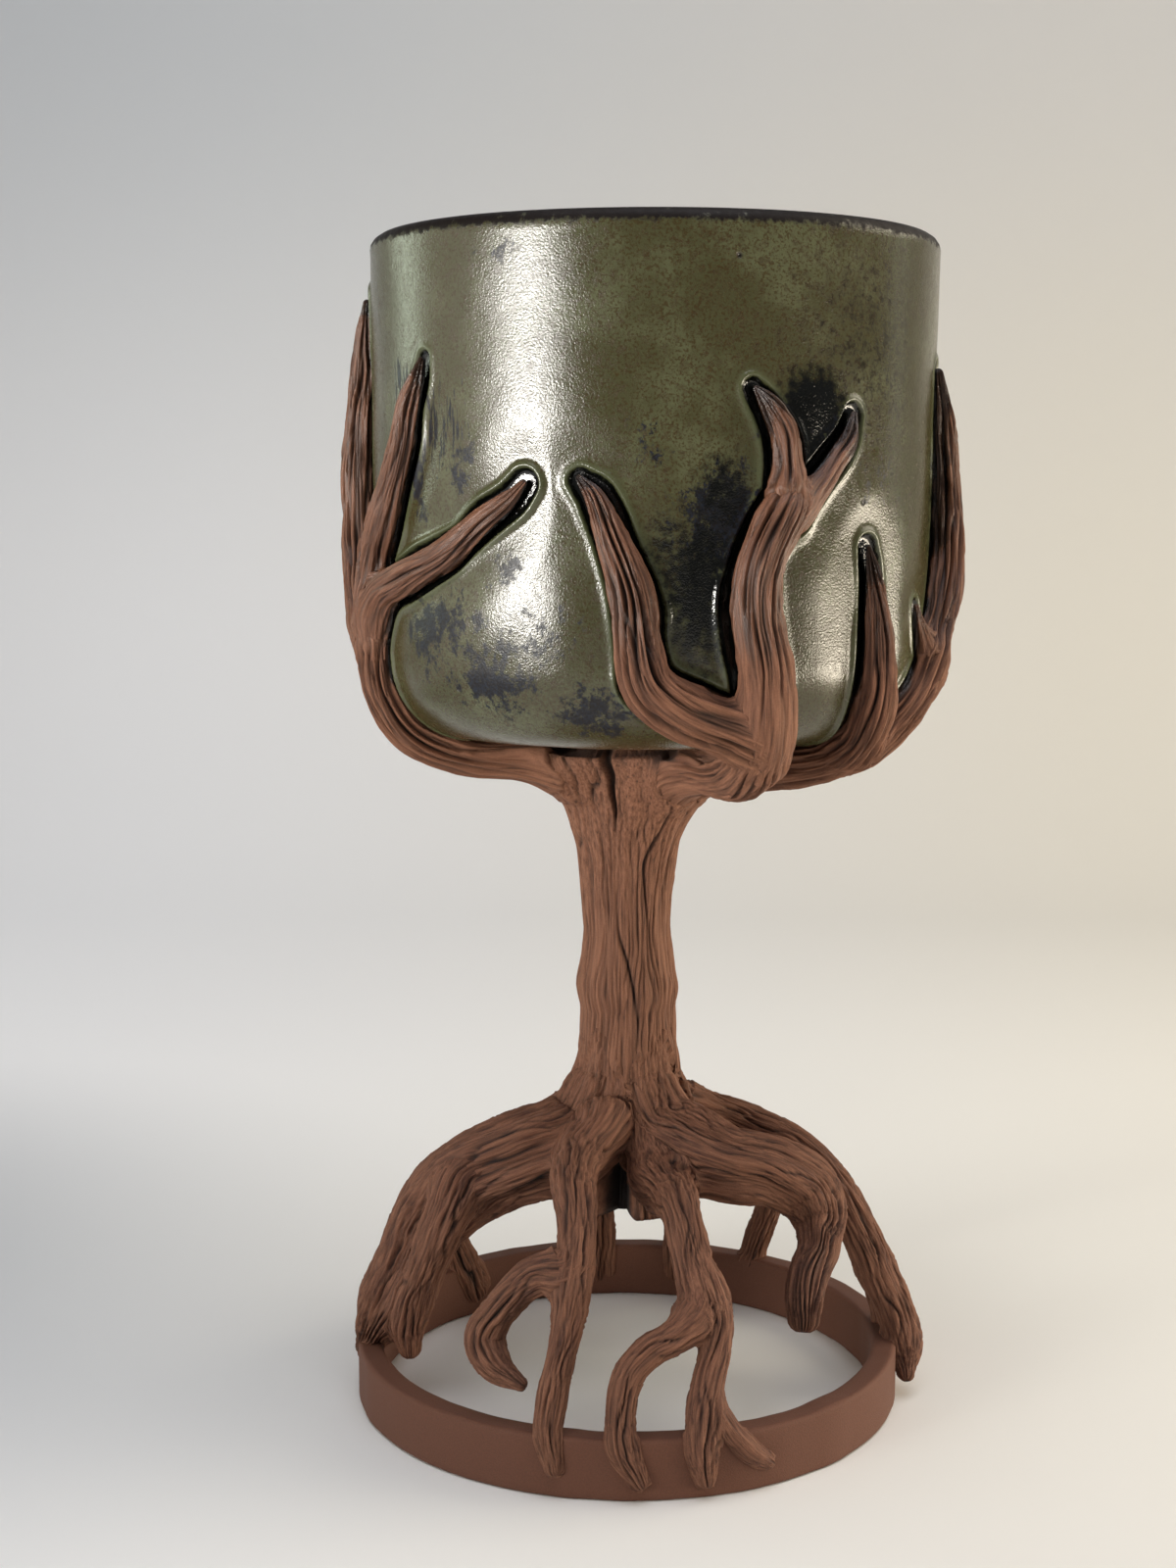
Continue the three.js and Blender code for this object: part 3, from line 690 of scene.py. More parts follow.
def barkOn(limb, row, angle):  # height of the scored skin, how deep in a crack, and grain coordinates
    # the second value is the shade painted into the cracks, fine lines and valleys
    bark, seed = limb["bark"], limb["seed"]
    rows = np.arange(len(limb["run"]))
    run = np.interp(row, rows, limb["run"])
    radius = np.interp(row, rows, limb["radius"])
    x, y = np.cos(angle) * radius, np.sin(angle) * radius
    wide = barkMix["lumpWide"]
    lump = bark["lump"] * noise(x / wide, y / wide, run / barkMix["lumpLong"], seed + draws["lump"])
    grain = np.column_stack([x, y, run])
    if not bark["crack"]:
        return lump, 0 * lump, grain
    off, deep, fold = scored(angle, run, radius, bark["foldApart"], bark["foldLong"], bark["warp"], seed)
    thin, faint, line = scored(
        angle, run, radius, bark["lineApart"], bark["lineLong"], bark["warp"], seed + draws["lines"]
    )
    crack = np.exp(-(off / bark["crackWide"]) ** 2) * deep ** 2
    scratch = np.exp(-(thin / (barkMix["scratchWide"] * bark["crackWide"])) ** 2) * faint
    valley = barkMix["valley"] * bark["foldHigh"] * smooth(*barkMix["valleyRange"], fold)
    size = np.clip(radius / barkMix["fullRadius"], barkMix["thinnest"], 1)
    if limb["kind"] == "root":  # smooth where it runs down the trunk, rough below
        level = np.interp(row, rows, limb["centre"][:, 2]) - coil["spring"]
        size = size * partly(barkMix["rootLeast"], smooth(*barkMix["rootRange"], level))
    if limb["kind"] == "branch":  # a coil starts smooth, inside the clay that it is luted to
        start = barkMix["tipRange" if limb["free"] else "forkRange"]
        size = size * partly(barkMix["branchLeast"], smooth(*start, run))
        if not limb["free"]:  # and ends so where it forks
            left = limb["run"][-1] - run
            size = size * partly(barkMix["branchLeast"], smooth(*barkMix["endRange"], left))
    height = lump + bark["foldHigh"] * fold * partly(barkMix["faintest"], deep)
    height = height + bark["lineHigh"] * line * partly(barkMix["faintest"], faint)
    height = height - bark["crack"] * (crack + barkMix["scratchDeep"] * scratch)
    # painted shade, darkest down the cracks and in the valleys
    dark = np.clip(barkMix["crackDark"] * crack + barkMix["scratchDark"] * scratch + valley, 0, 1)
    return height * size, dark * partly(barkMix["smoothDark"], size), grain


def ringFaces(rings, columns):
    first = np.arange((rings - 1) * columns).reshape(rings - 1, columns)
    after = np.roll(first, -1, axis=1)
    return np.stack([first, after, after + columns, first + columns], axis=-1).reshape(-1, 4).tolist()


def closedFaces(rings, columns):  # the same, with both ends closed on a pole that follows the rings' points
    faces = ringFaces(rings, columns)
    start, last = rings * columns, (rings - 1) * columns
    for i in range(columns):
        after = (i + 1) % columns
        faces.append((start, after, i))
        faces.append((start + 1, last + i, last + after))
    return faces


def limbSkin(limb):  # rings of points along the coil, closed at both ends
    girth = 2 * math.pi * np.percentile(limb["radius"], coil["girthAt"])
    columns = max(int(girth / coil["columnStep"]), coil["leastColumns"])
    rows = np.arange(len(limb["run"]), dtype=float)
    angle = np.linspace(-math.pi, math.pi, columns, endpoint=False)
    row, turn = (grid.ravel() for grid in np.meshgrid(rows, angle, indexing="ij"))
    index = row.astype(int)
    flat = 1 + uneven(limb, turn, limb["run"][index])
    spoke = np.cos(turn)[:, None] * limb["side"][index] + np.sin(turn)[:, None] * limb["over"][index]
    points = limb["centre"][index] + spoke * (limb["radius"][index] * flat)[:, None]
    end, ahead, tip = limb["centre"][-1], limb["ahead"][-1], limb["radius"][-1]
    cap = -trunk["hollow"] if limb["kind"] == "trunk" else tip
    around = spoke[-columns:] * tip * flat[-columns:, None]
    caps = []
    for i in range(1, coil["capRings"] + 1):  # round the tip over, or hollow it
        lean = math.radians(90 * i / (coil["capRings"] + 1))
        caps.append(end + ahead * cap * math.sin(lean) + around * math.cos(lean))
    faces = closedFaces(len(rows) + coil["capRings"], columns)
    points = np.vstack([points, *caps, limb["centre"][0], end + ahead * cap])
    spoke = np.vstack([spoke, *[spoke[-columns:]] * coil["capRings"], -limb["ahead"][0], ahead])
    row = np.concatenate([row, *[row[-columns:]] * coil["capRings"], [0, rows[-1]]])
    turn = np.concatenate([turn, *[turn[-columns:]] * coil["capRings"], [0, 0]])
    return points, spoke, row, turn, faces


# Joints: the clay of one coil is worked into the next
joint = {
    "blend": 3.5,  # mm from a joint where its fillet starts
    "crownBlend": 9,
    "rootBlend": 9,  # where the roots leave the trunk
    "underBlend": 2.5,  # and under it
    "underRange": (-14, -4),  # heights over the spring
    "ringBlend": 1.2,
    "sideBySide": 3,  # how fast a fillet ends as two skins come to lie side by side
    "fade": 4,  # how fast the lines of one coil fade into the next
    "rounds": 6,
    "buried": (0.05, 0.9),  # mm inside a neighbour, between which a point stops moving
    "far": 99.0,
}


def softness(one, other, height):  # mm from a joint where its fillet starts, at each height
    kinds = {one, other}
    if "ring" in kinds:
        return joint["ringBlend"] + 0 * height
    if kinds == {"trunk", "root"}:
        high = smooth(*joint["underRange"], height - coil["spring"])
        return joint["underBlend"] + (joint["rootBlend"] - joint["underBlend"]) * high
    return joint["crownBlend" if "trunk" in kinds else "blend"] + 0 * height


def meld(limb, points, spoke, moved, others, skin):
    # distance outside the soft union of a limb with its neighbours, the way out, and the skin they share
    pieces = [limb] + others
    gaps = np.full((len(pieces), len(moved)), joint["far"])
    ways = np.repeat(spoke[None], len(pieces), axis=0)
    skins = [np.repeat(part[None], len(pieces), axis=0) for part in skin]
    gaps[0] = ((moved - points) * spoke).sum(1)
    for i, other in enumerate(others, 1):
        low, high = other["low"] - coil["reach"], other["high"] + coil["reach"]
        near = np.all((moved > low) & (moved < high), axis=1)
        if not near.any():
            continue
        gaps[i, near], ways[i, near], place, angle = other["near"](other, moved[near])
        if skin:
            for part, found in zip(skins, barkOn(other, place, angle)):
                part[i, near] = found
    every = np.arange(len(moved))
    nearest = gaps.argmin(axis=0)
    least = gaps[nearest, every]
    buried = -gaps[1:].min(axis=0, initial=joint["far"])
    drop, share, faded = np.zeros((3, len(moved)))
    partner = nearest.copy()
    kinds = np.array([piece["kind"] for piece in pieces])
    for i, piece in enumerate(pieces):
        fillet = np.ones(len(moved))
        for kind in set(kinds):
            own = kinds[nearest] == kind
            fillet[own] = softness(kind, piece["kind"], moved[own, 2])
        close = np.maximum(fillet - (gaps[i] - least), 0) / fillet
        close[nearest == i] = 0
        turned = 1 - (ways[i] * ways[nearest, every]).sum(1)
        filled = close ** 2 * fillet / 4 * np.clip(joint["sideBySide"] * turned, 0, 1)
        deeper = filled > drop
        drop = np.where(deeper, filled, drop)
        share = np.where(deeper, close / 2, share)
        faded = np.where(deeper, close ** joint["fade"] / 2, faded)
        partner = np.where(deeper, i, partner)
    mixed = [part[nearest, every] * (1 - faded) + part[partner, every] * faded for part in skins]
    way = ways[nearest, every] * (1 - share)[:, None] + ways[partner, every] * share[:, None]
    return least - drop, unit(way), buried, mixed


def joinSkin(limb, points, spoke, row, turn, others):
    # each point moves out to the fillet that it shares with its neighbours, and the scored lines
    # of one limb fade into the next
    moved = points.copy()
    free = None
    for i in range(joint["rounds"]):
        gap, way, buried, _ = meld(limb, points, spoke, moved, others, ())
        if free is None:
            free = 1 - smooth(*joint["buried"], buried)
        moved = moved - way * (gap * free)[:, None]
    height, creviceShade, grain = barkOn(limb, row, turn)
    _, way, _, (height, creviceShade) = meld(limb, points, spoke, moved, others, (height, creviceShade))
    return moved + way * height[:, None], creviceShade, grain


branches = {  # thickness in mm, glaze run on to the tip in mm, and the route: turn, along, fullness, lift
    "left_limb": (10, 0, [
        (-62, 0.28, 0.75, 1.45), (-65, 0.65, 0.62, 1.35), (-67, 1, 0.6, 1.1), (-69, 1.4, 0.58, 0.75),
        (-70, 1.75, 0.58, 0.5), (-71, 2, 0.58, 0.45), (-71, 2.1, 0.55, 0.45)]),
    "left_outer_branch": (7, 4, [
        (-73, 1.98, 0.76, 0.5), (-81, 2.13, 0.84, 0.8), (-88, 2.28, 0.84, 0.95), (-90, 2.45, 0.78, 1.05),
        (-90, 2.63, 0.6, 1), (-88, 2.79, 0.4, 0.9), (-87, 2.86, 0.2, 0.9)]),
    "left_middle_branch": (7, 6, [
        (-74, 2.04, 0.8, 0.4), (-71, 2.14, 0.8, 0.6), (-67.5, 2.245, 0.78), (-63, 2.33, 0.74),
        (-58.5, 2.425, 0.64), (-55, 2.51, 0.57), (-53, 2.595, 0.48), (-50.5, 2.65, 0.34),
        (-49.5, 2.69, 0.15)]),
    "left_inner_branch": (7, 0, [
        (-69, 2.09, 0.8, 0.5), (-63, 2.165, 0.76), (-53, 2.21, 0.68), (-42, 2.26, 0.58),
        (-33, 2.333, 0.45), (-27.5, 2.378, 0.32), (-25, 2.41, 0.18)]),
    "front_limb": (10, 0, [
        (23, 0.28, 0.85, 1.3), (23.5, 0.65, 0.82, 1.1), (23, 1, 0.9, 0.8), (22, 1.3, 0.96, 0.6),
        (21, 1.5, 0.94)]),
    "front_main_branch": (10, 0, [
        (21.5, 1.42, 0.88), (20.5, 1.7, 0.84), (19.5, 2, 0.78), (18, 2.11, 0.71), (17.8, 2.195, 0.67),
        (19, 2.26, 0.66), (22, 2.335, 0.65), (23.5, 2.37, 0.64)]),
    "front_left_tip": (7, 9, [
        (23.5, 2.35, 0.7), (23.8, 2.4, 0.64), (23.8, 2.455, 0.56), (23, 2.52, 0.54), (21.3, 2.56, 0.46),
        (19.3, 2.595, 0.3), (18, 2.613, 0.12)]),
    "front_right_tip": (7, 10, [
        (25, 2.34, 0.7), (28, 2.375, 0.6), (30.5, 2.405, 0.55), (34, 2.455, 0.46), (37.7, 2.51, 0.38),
        (39.2, 2.563, 0.16)]),
    "front_left_branch": (7, 4, [
        (20, 1.5, 1.15), (13, 1.62, 1.1), (4, 1.77, 1.1), (-1, 1.93, 1.03), (-3, 2.06, 0.9),
        (-4.5, 2.17, 0.83), (-8, 2.29, 0.68), (-11, 2.38, 0.45), (-14, 2.42, 0.2)]),
    "right_limb": (10, 32, [
        (44, 0.28, 0.8, 1.3), (46, 0.7, 0.72, 1.2), (50, 1.05, 0.66, 0.95), (56, 1.35, 0.62, 0.7),
        (62, 1.65, 0.58, 0.5), (68, 1.93, 0.56, 0.5), (73, 2.08, 0.56, 0.65), (78, 2.22, 0.57, 0.8),
        (80, 2.37, 0.54, 0.7), (79, 2.55, 0.42, 0.6), (77, 2.68, 0.18, 0.5)]),
    "right_inner_branch": (7, 8, [
        (51, 1.1, 0.9, 0.9), (50, 1.4, 0.86), (47.5, 1.65, 0.82), (46.5, 1.86, 0.76), (46.5, 2.03, 0.66),
        (46, 2.125, 0.54), (45.3, 2.215, 0.34), (44.3, 2.27, 0.14)]),
    "right_twig": (4.6, 4, [
        (71, 1.9, 0.95), (69, 1.97, 0.8), (66.5, 2.05, 0.6), (64, 2.13, 0.25)]),
    "back_right_limb": (10, 0, [
        (128, 0.28, 0.85, 1.3), (132, 0.65, 0.84, 1.1), (136, 1, 0.84, 1), (138, 1.4, 0.85, 0.85),
        (138, 1.75, 0.9), (136, 2.02, 0.95), (134, 2.12, 0.9)]),
    "back_right_outer_branch": (7, 7, [
        (133, 2.08, 1.05), (126, 2.2, 0.98), (121, 2.34, 0.85), (119, 2.48, 0.62), (121, 2.6, 0.4),
        (123, 2.65, 0.2)]),
    "back_right_inner_branch": (7, 5, [
        (138, 2.02, 1), (148, 2.12, 0.95), (157, 2.22, 0.85), (162, 2.34, 0.62), (163, 2.43, 0.4),
        (162, 2.48, 0.2)]),
    "back_left_limb": (10, 0, [
        (-140, 0.28, 0.85, 1.3), (-146, 0.65, 0.84, 1.1), (-151, 1, 0.82, 1), (-154, 1.4, 0.84, 0.85),
        (-154, 1.75, 0.9), (-152, 2.02, 0.92), (-149, 2.2, 0.85), (-147, 2.32, 0.8)]),
    "back_left_upper_branch": (7, 6, [
        (-148, 2.28, 0.98), (-150, 2.4, 0.85), (-154, 2.51, 0.65), (-158, 2.6, 0.42), (-160, 2.65, 0.2)]),
    "back_left_side_branch": (7, 5, [
        (-150, 2.05, 0.95), (-140, 2.12, 0.9), (-131, 2.22, 0.82), (-125, 2.35, 0.64), (-124, 2.47, 0.42),
        (-125, 2.53, 0.2)]),
}

roots = {  # thickness in mm, and the route: turn, reach to the ring, rise, fullness
    "left_root": (13, [
        (-56, 0.02, 0.9, 0.95), (-60, 0.15, 0.86, 1.08), (-66, 0.31, 0.825, 1.1), (-76, 0.5, 0.745, 1.06),
        (-83, 0.67, 0.6, 0.96), (-82, 0.78, 0.43, 0.85), (-81, 0.875, 0.31, 0.74),
        (-83, 0.96, 0.17, 0.34)]),
    "left_root_fork": (6, [
        (-68, 0.55, 0.78, 1.2), (-66, 0.64, 0.68, 1.15), (-66, 0.7, 0.58, 1.1), (-69, 0.74, 0.47, 1.02),
        (-72, 0.77, 0.36, 1.05), (-73.5, 0.79, 0.27, 0.92), (-73, 0.79, 0.2, 0.62)]),
    "front_left_root": (6, [
        (-30, 0, 0.98, 1.2), (-21, 0.13, 0.93, 1.4), (-24, 0.27, 0.88, 1.35), (-20, 0.44, 0.85, 1.15),
        (-13.5, 0.66, 0.75, 0.9), (-12.5, 0.8, 0.61, 0.85), (-13, 0.87, 0.48, 0.8),
        (-14.7, 0.94, 0.31, 0.7), (-15.2, 0.98, 0.2, 0.66), (-13.8, 1.02, 0.1, 0.4)]),
    "hooked_rootlet": (6, [
        (-14, 0.76, 0.64, 1.1), (-21.5, 0.79, 0.62, 1.03), (-29.5, 0.85, 0.51, 1),
        (-32, 0.89, 0.42, 0.95), (-28, 0.92, 0.35, 0.83), (-22, 0.94, 0.32, 0.4)]),
    "front_right_root": (6, [
        (30, 0, 0.98, 1.1), (20, 0.07, 0.89, 1.15), (19, 0.22, 0.8, 1.6), (18.5, 0.44, 0.785, 1.25),
        (16, 0.63, 0.775, 0.95), (16.3, 0.73, 0.67, 0.92), (17, 0.8, 0.59, 0.98), (17.5, 0.84, 0.53, 1)]),
    "front_right_root_left_fork": (6, [
        (16.5, 0.83, 0.55, 1), (11, 0.88, 0.485, 0.88), (4.5, 0.905, 0.435, 0.82),
        (0.5, 0.93, 0.37, 0.75), (-1, 0.96, 0.27, 0.7), (-0.5, 0.99, 0.16, 0.72), (2.5, 1.02, 0.07, 0.42)]),
    "front_right_root_right_fork": (6, [
        (19.5, 0.8, 0.6, 0.8), (20.5, 0.85, 0.5, 0.8), (19.3, 0.89, 0.43, 0.78),
        (16.8, 0.935, 0.35, 0.76), (14.8, 0.97, 0.25, 0.8), (14.5, 1, 0.15, 0.82), (15, 1.02, 0.07, 0.5)]),
    "side_rootlet": (4.6, [
        (16, 0.95, 0.3, 0.62), (20, 0.98, 0.21, 0.64), (24.5, 1.01, 0.125, 0.66), (28, 1.02, 0.085, 0.4)]),
    "right_root": (13, [
        (42, 0.02, 0.93, 0.84), (46, 0.14, 0.88, 0.93), (50, 0.36, 0.845, 0.86), (61, 0.53, 0.81, 0.83),
        (67, 0.64, 0.74, 0.77), (65.5, 0.71, 0.65, 0.62), (58.5, 0.755, 0.59, 0.48),
        (50.5, 0.785, 0.53, 0.42), (47.5, 0.805, 0.47, 0.4), (46.5, 0.815, 0.425, 0.34)]),
    "back_right_root": (6, [
        (104, 0.03, 0.97, 1.1), (101, 0.16, 0.94, 1.05), (97, 0.36, 0.88, 1), (90, 0.59, 0.8, 1.05),
        (88, 0.78, 0.62, 1.06), (88, 0.91, 0.42, 1.1), (87, 1, 0.26, 1.12), (85, 1.04, 0.15, 0.95),
        (82, 1.05, 0.09, 0.5)]),
    "back_right_rootlet": (4.6, [
        (90, 0.88, 0.46, 0.9), (95, 0.93, 0.34, 0.85), (95, 0.96, 0.23, 0.75), (94, 0.97, 0.12, 0.6)]),
    "far_right_root": (6, [
        (138, 0.03, 0.92, 1.4), (138, 0.2, 0.88, 1.3), (138, 0.45, 0.8, 1.1), (137, 0.7, 0.67, 1),
        (139, 0.86, 0.45, 0.85), (145, 0.94, 0.28, 0.8), (148, 0.96, 0.17, 0.76)]),
    "far_middle_root": (6, [
        (160, 0.03, 0.97, 1.4), (162, 0.25, 0.91, 1.3), (165, 0.5, 0.82, 1.15), (166, 0.74, 0.64, 1.05),
        (166, 0.9, 0.37, 0.95), (167, 0.95, 0.1, 0.9)]),
    "far_root": (13, [
        (186, 0.03, 0.96, 0.72), (188, 0.25, 0.91, 0.7), (189, 0.5, 0.82, 0.64), (189, 0.74, 0.64, 0.56),
        (188, 0.9, 0.37, 0.5), (187, 0.95, 0.1, 0.47)]),
    "far_left_root": (6, [
        (-98, 0.03, 0.92, 1.4), (-101, 0.25, 0.85, 1.35), (-107, 0.5, 0.76, 1.2), (-117, 0.74, 0.59, 1.05),
        (-129, 0.9, 0.36, 0.95), (-138, 0.95, 0.1, 1.1)]),
}

strands = {"left_root": 6, "right_root": 5, "far_root": 5}  # round the roots that are bundles
seeds = {"trunk": 11, "branch": 100, "root": 500, "ring": 900, "apart": 13}
limbStart = {"out": 4.5, "down": 9, "radius": 3.4}  # where a limb leaves the middle of the trunk
# Where a root leaves the trunk: mm off the waist, mm over the spring, share of its radius
rootStart = [(-1.2, 14, 0.5), (0.2, 8, 0.75), (1.5, 3, 0.9)]
limbEnd = {  # a coil that forks ends inside its forks
    "blunt": 0.5, "shrink": 0.85, "onward": 0.3,  # branch fullness from which it forks
    "rootBlunt": 0.9, "rootHigh": 0.2, "rootOnward": 0.35,
    "fromTrunk": 0.5, "rootFromTrunk": 0.1,  # routes that start past these leave another coil
}


def around(turn, out):
    angle = math.radians(turn)
    return out * math.sin(angle), -out * math.cos(angle)


def runOn(near, last, size):  # a coil's end, carried on inside the clay that it is luted to
    near, last = np.array(near), np.array(last)
    onward = last[:3] + unit(last[:3] - near[:3]) * last[3]
    return (*onward, last[3] * size)


def luteTo(limbs, first):  # where a coil starts, in the middle of the one that it is luted to
    place = np.array([first[:3]])
    coils = [limb for limb in limbs if limb["kind"] != "trunk"]
    parent = min(coils, key=lambda limb: nearLimb(limb, place)[0][0])
    back = nearLimb(parent, place)[2][0] - coil["luteBack"] * first[3] / coil["rowStep"]
    row = int(max(back, 0))
    return (*parent["centre"][row], coil["luteSize"] * min(first[3], parent["radius"][row]))


def branchStations(thickness, route, limbs):
    stations = []
    for turn, along, fullness, *lift in route:
        radius = thickness / 2 * fullness
        stand = (lift[0] if lift else coil["pressed"]) * radius
        stations.append((*onCup(turn, along, stand), radius))
    if route[-1][2] > limbEnd["blunt"]:
        stations[-1] = (*stations[-1][:3], limbEnd["shrink"] * stations[-1][3])
        stations.append(runOn(stations[-2], stations[-1], limbEnd["onward"]))
    if route[0][1] > limbEnd["fromTrunk"]:
        return [luteTo(limbs, stations[0])] + stations
    start = (*around(route[0][0], limbStart["out"]), stemTop - limbStart["down"], limbStart["radius"])
    return [start] + stations


def rootStations(thickness, route, limbs):
    stations = []
    waist = trunk["waist"]
    for turn, reach, rise, fullness in route:
        place = around(turn, waist + (ringOut - waist) * reach)
        stations.append((*place, rise * coil["spring"], thickness / 2 * fullness))
    if route[-1][3] > limbEnd["rootBlunt"] and route[-1][2] > limbEnd["rootHigh"]:
        stations.append(runOn(stations[-2], stations[-1], limbEnd["rootOnward"]))
    if route[0][1] > limbEnd["rootFromTrunk"]:
        return [luteTo(limbs, stations[0])] + stations
    starts = []
    for off, up, share in rootStart:
        radius = share * stations[0][3]
        starts.append((*around(route[0][0], waist + off - radius), coil["spring"] + up, radius))
    return starts + stations


# The trunk: a carved column, split in front at its crown and open at its foot
trunk = {
    "waist": 7.4, "crown": 20, "crownFlare": 36, "crownPower": 3, "foot": 9.5, "footFlare": 9, "hollow": 3,
    "rings": 48, "over": 0.4, "undercut": 0.4, "undercutRange": (3, 1.5),
    "gap": {"left": (-15, -10), "right": (10, 6), "from": (12, 17), "to": (31, 28), "deep": 3.2,
            # painted shadow in the slit under the cup's base
            "least": 0.05, "dark": 0.8, "darkRange": (0, 0.6), "darkFrom": 0.1},
    "arch": {"turn": -13, "wide": 24, "inner": 0.55, "top": 51, "tall": 12, "ease": 0.2, "deep": 0.7},
    # painted shade inside the open arch at the trunk's foot
    "archDark": (0.1, 0.5),
    "cleft": {"turn": -11, "low": 17, "wide": 1.6, "inner": 0.25, "ease": 0.25, "deep": 3, "lowest": 0.3,
              # painted shade deep in the cleft
              "dark": 0.9, "least": 4, "wander": ((0.07, 4, 71), (0.03, 1.3, 72))},
}


def trunkStations():
    stations = []
    bottom, top = trunkFloor, stemTop + trunk["over"]
    for height in np.linspace(top, bottom, trunk["rings"]):
        foot = (trunk["foot"] - trunk["waist"]) * math.exp((bottom - height) / trunk["footFlare"])
        flare = max(1 - (top - height) / trunk["crownFlare"], 0) ** trunk["crownPower"]
        crown = (trunk["crown"] - trunk["waist"]) * flare
        under = 1 - trunk["undercut"] * smooth(*trunk["undercutRange"], top - height)
        stations.append((0, 0, height, (trunk["waist"] + foot + crown) * under))
    return stations


def cutCleft(points, creviceShade):  # the crown is split in front, where the limbs part under the cup
    cleft = trunk["cleft"]
    out = np.hypot(points[:, 0], points[:, 1])
    turn = np.arctan2(points[:, 0], -points[:, 1]) - math.radians(cleft["turn"])
    for share, long, seed in cleft["wander"]:
        turn = turn + share * noise(points[:, 2] / long, 0.5, 0.5, seed)
    climb = np.clip((points[:, 2] - stemTop + cleft["low"]) / cleft["low"], 0, 1)
    wide = cleft["wide"] * climb + tiny
    split = smooth(wide, cleft["inner"] * wide, np.abs(turn * out))
    split = split * smooth(0, cleft["ease"], climb) * (np.abs(turn) < 1)
    deep = cleft["deep"] * partly(cleft["lowest"], climb) * split / np.maximum(out, cleft["least"])
    points = points.copy()
    points[:, :2] *= (1 - deep)[:, None]
    # the split is also coloured dark as painted shade
    return points, np.maximum(creviceShade, cleft["dark"] * split)


def openGap(points, creviceShade):  # the clay stops short of the cup's base in front
    gap = trunk["gap"]
    x, y, z = points.T
    across = smooth(*gap["left"], x) * smooth(*gap["right"], x)
    out = np.hypot(x - cupLean, y)
    under = smooth(*gap["from"], out) * smooth(*gap["to"], out) * (y < 0)
    deep = gap["deep"] * across * under
    over = np.maximum(z - (stemTop - deep), 0) * (deep > gap["least"])
    points = points.copy()
    points[:, 2] -= over
    # painted shadow in the slit under the cup's base
    dark = gap["dark"] * smooth(*gap["darkRange"], over) * (deep > gap["darkFrom"])
    return points, np.maximum(creviceShade, dark)


def archScoop(points):  # the trunk's foot is open between the front roots: share of its radius cut away
    arch = trunk["arch"]
    turn = np.degrees(np.arctan2(points[:, 0], -points[:, 1]))
    low = smooth(arch["top"], arch["top"] - arch["tall"], points[:, 2])
    wide = arch["wide"] * low + tiny
    side = smooth(wide, arch["inner"] * wide, np.abs(turn - arch["turn"]))
    return arch["deep"] * side * smooth(0, arch["ease"], low)


# The foot ring: a strip of slab bent round, its edges rubbed soft
ringSlab = {"wall": 4, "edge": 0.7, "edgeSteps": 4, "around": 420, "step": 0.8, "flat": 0.02}


def nearRing(limb, points):  # distance outside the foot ring, way out, place and angle for its skin
    half, edge = ringSlab["wall"] / 2, ringSlab["edge"]
    out = np.hypot(points[:, 0], points[:, 1])
    side = out - (ringOut - half)
    up = points[:, 2] - ringTall / 2
    over = np.maximum(np.abs(side) - half + edge, 0)
    above = np.maximum(np.abs(up) - ringTall / 2 + edge, 0)
    inside = np.minimum(np.maximum(np.abs(side) - half, np.abs(up) - ringTall / 2), 0)
    gap = np.where((over + above) > 0, np.hypot(over, above) - edge, inside)
    level = np.where(over >= above, np.sign(side), 0)
    spoke = points[:, :2] / np.maximum(out, tiny)[:, None]
    way = np.column_stack([spoke * level[:, None], np.where(over >= above, 0, np.sign(up))])
    return gap, unit(way), np.zeros(len(points)), np.arctan2(points[:, 0], -points[:, 1])


def ringSection():
    wall, edge = ringSlab["wall"], ringSlab["edge"]
    sides = ((-1, -1), (1, -1), (1, 1), (-1, 1))
    half = np.array([wall, ringTall]) / 2
    corners = [np.array([ringOut - wall / 2, ringTall / 2]) + half * side for side in np.array(sides)]
    section = []
    for i, corner in enumerate(corners):
        middle = corner - edge * np.array(sides[i])
        for lean in np.radians(np.linspace(-180, -90, ringSlab["edgeSteps"] + 1) + 90 * i):
            section.append(middle + edge * np.array([math.cos(lean), math.sin(lean)]))
        span = corners[(i + 1) % 4] - corner
        long = np.linalg.norm(span)
        steps = int(long / ringSlab["step"])
        start = section[-1]
        for j in range(1, steps):
            section.append(start + span * (1 - 2 * edge / long) * j / steps)
    return np.array(section)


def makeRing(ring, material):
    section = ringSection()
    angle = np.linspace(0, 2 * math.pi, ringSlab["around"], endpoint=False)[:, None]
    out, up = section.T
    points = np.stack([out * np.sin(angle), -out * np.cos(angle), up + 0 * angle], axis=-1).reshape(-1, 3)
    _, spoke, row, turn = nearRing(ring, points)
    height, creviceShade, grain = barkOn(ring, row, turn)
    moved = points + spoke * height[:, None]
    moved[:, 2] = np.maximum(moved[:, 2], 0)
    moved[points[:, 2] < ringSlab["flat"]] *= (1, 1, 0)
    faces = np.array(ringFaces(len(angle) + 1, len(section))) % len(points)
    none = np.zeros(len(points))
    values = {
        "creviceShade": creviceShade, "glassy": none, "toast": none + ring["bark"]["toast"],
        "grain": 0 * grain,  # a slab smoothed by hand has no scored lines
    }
    faces = faces[:, ::-1].tolist()
    makePiece("clay_foot_ring", moved, faces, values, material, "foot_ring")


# Glaze creeps up the clay beside the cup, coats some tips and leaves a sheen.
# The ranges are mm from the cup, mm over its base, or mm along a tip.
creep = {
    "wobble": 0.5, "wobbleWide": 2, "besideRange": (1.1, 0.3), "highRange": (4, 10),
    "tipRange": (6, -5), "tipWobble": 5, "tipAway": (6, 1.5), "tipShare": 0.85,
    "sheen": 0.5, "sheenRange": (8, 20),
}
toastRange = (14, -8)  # heights over the spring between which the fire toasted the clay


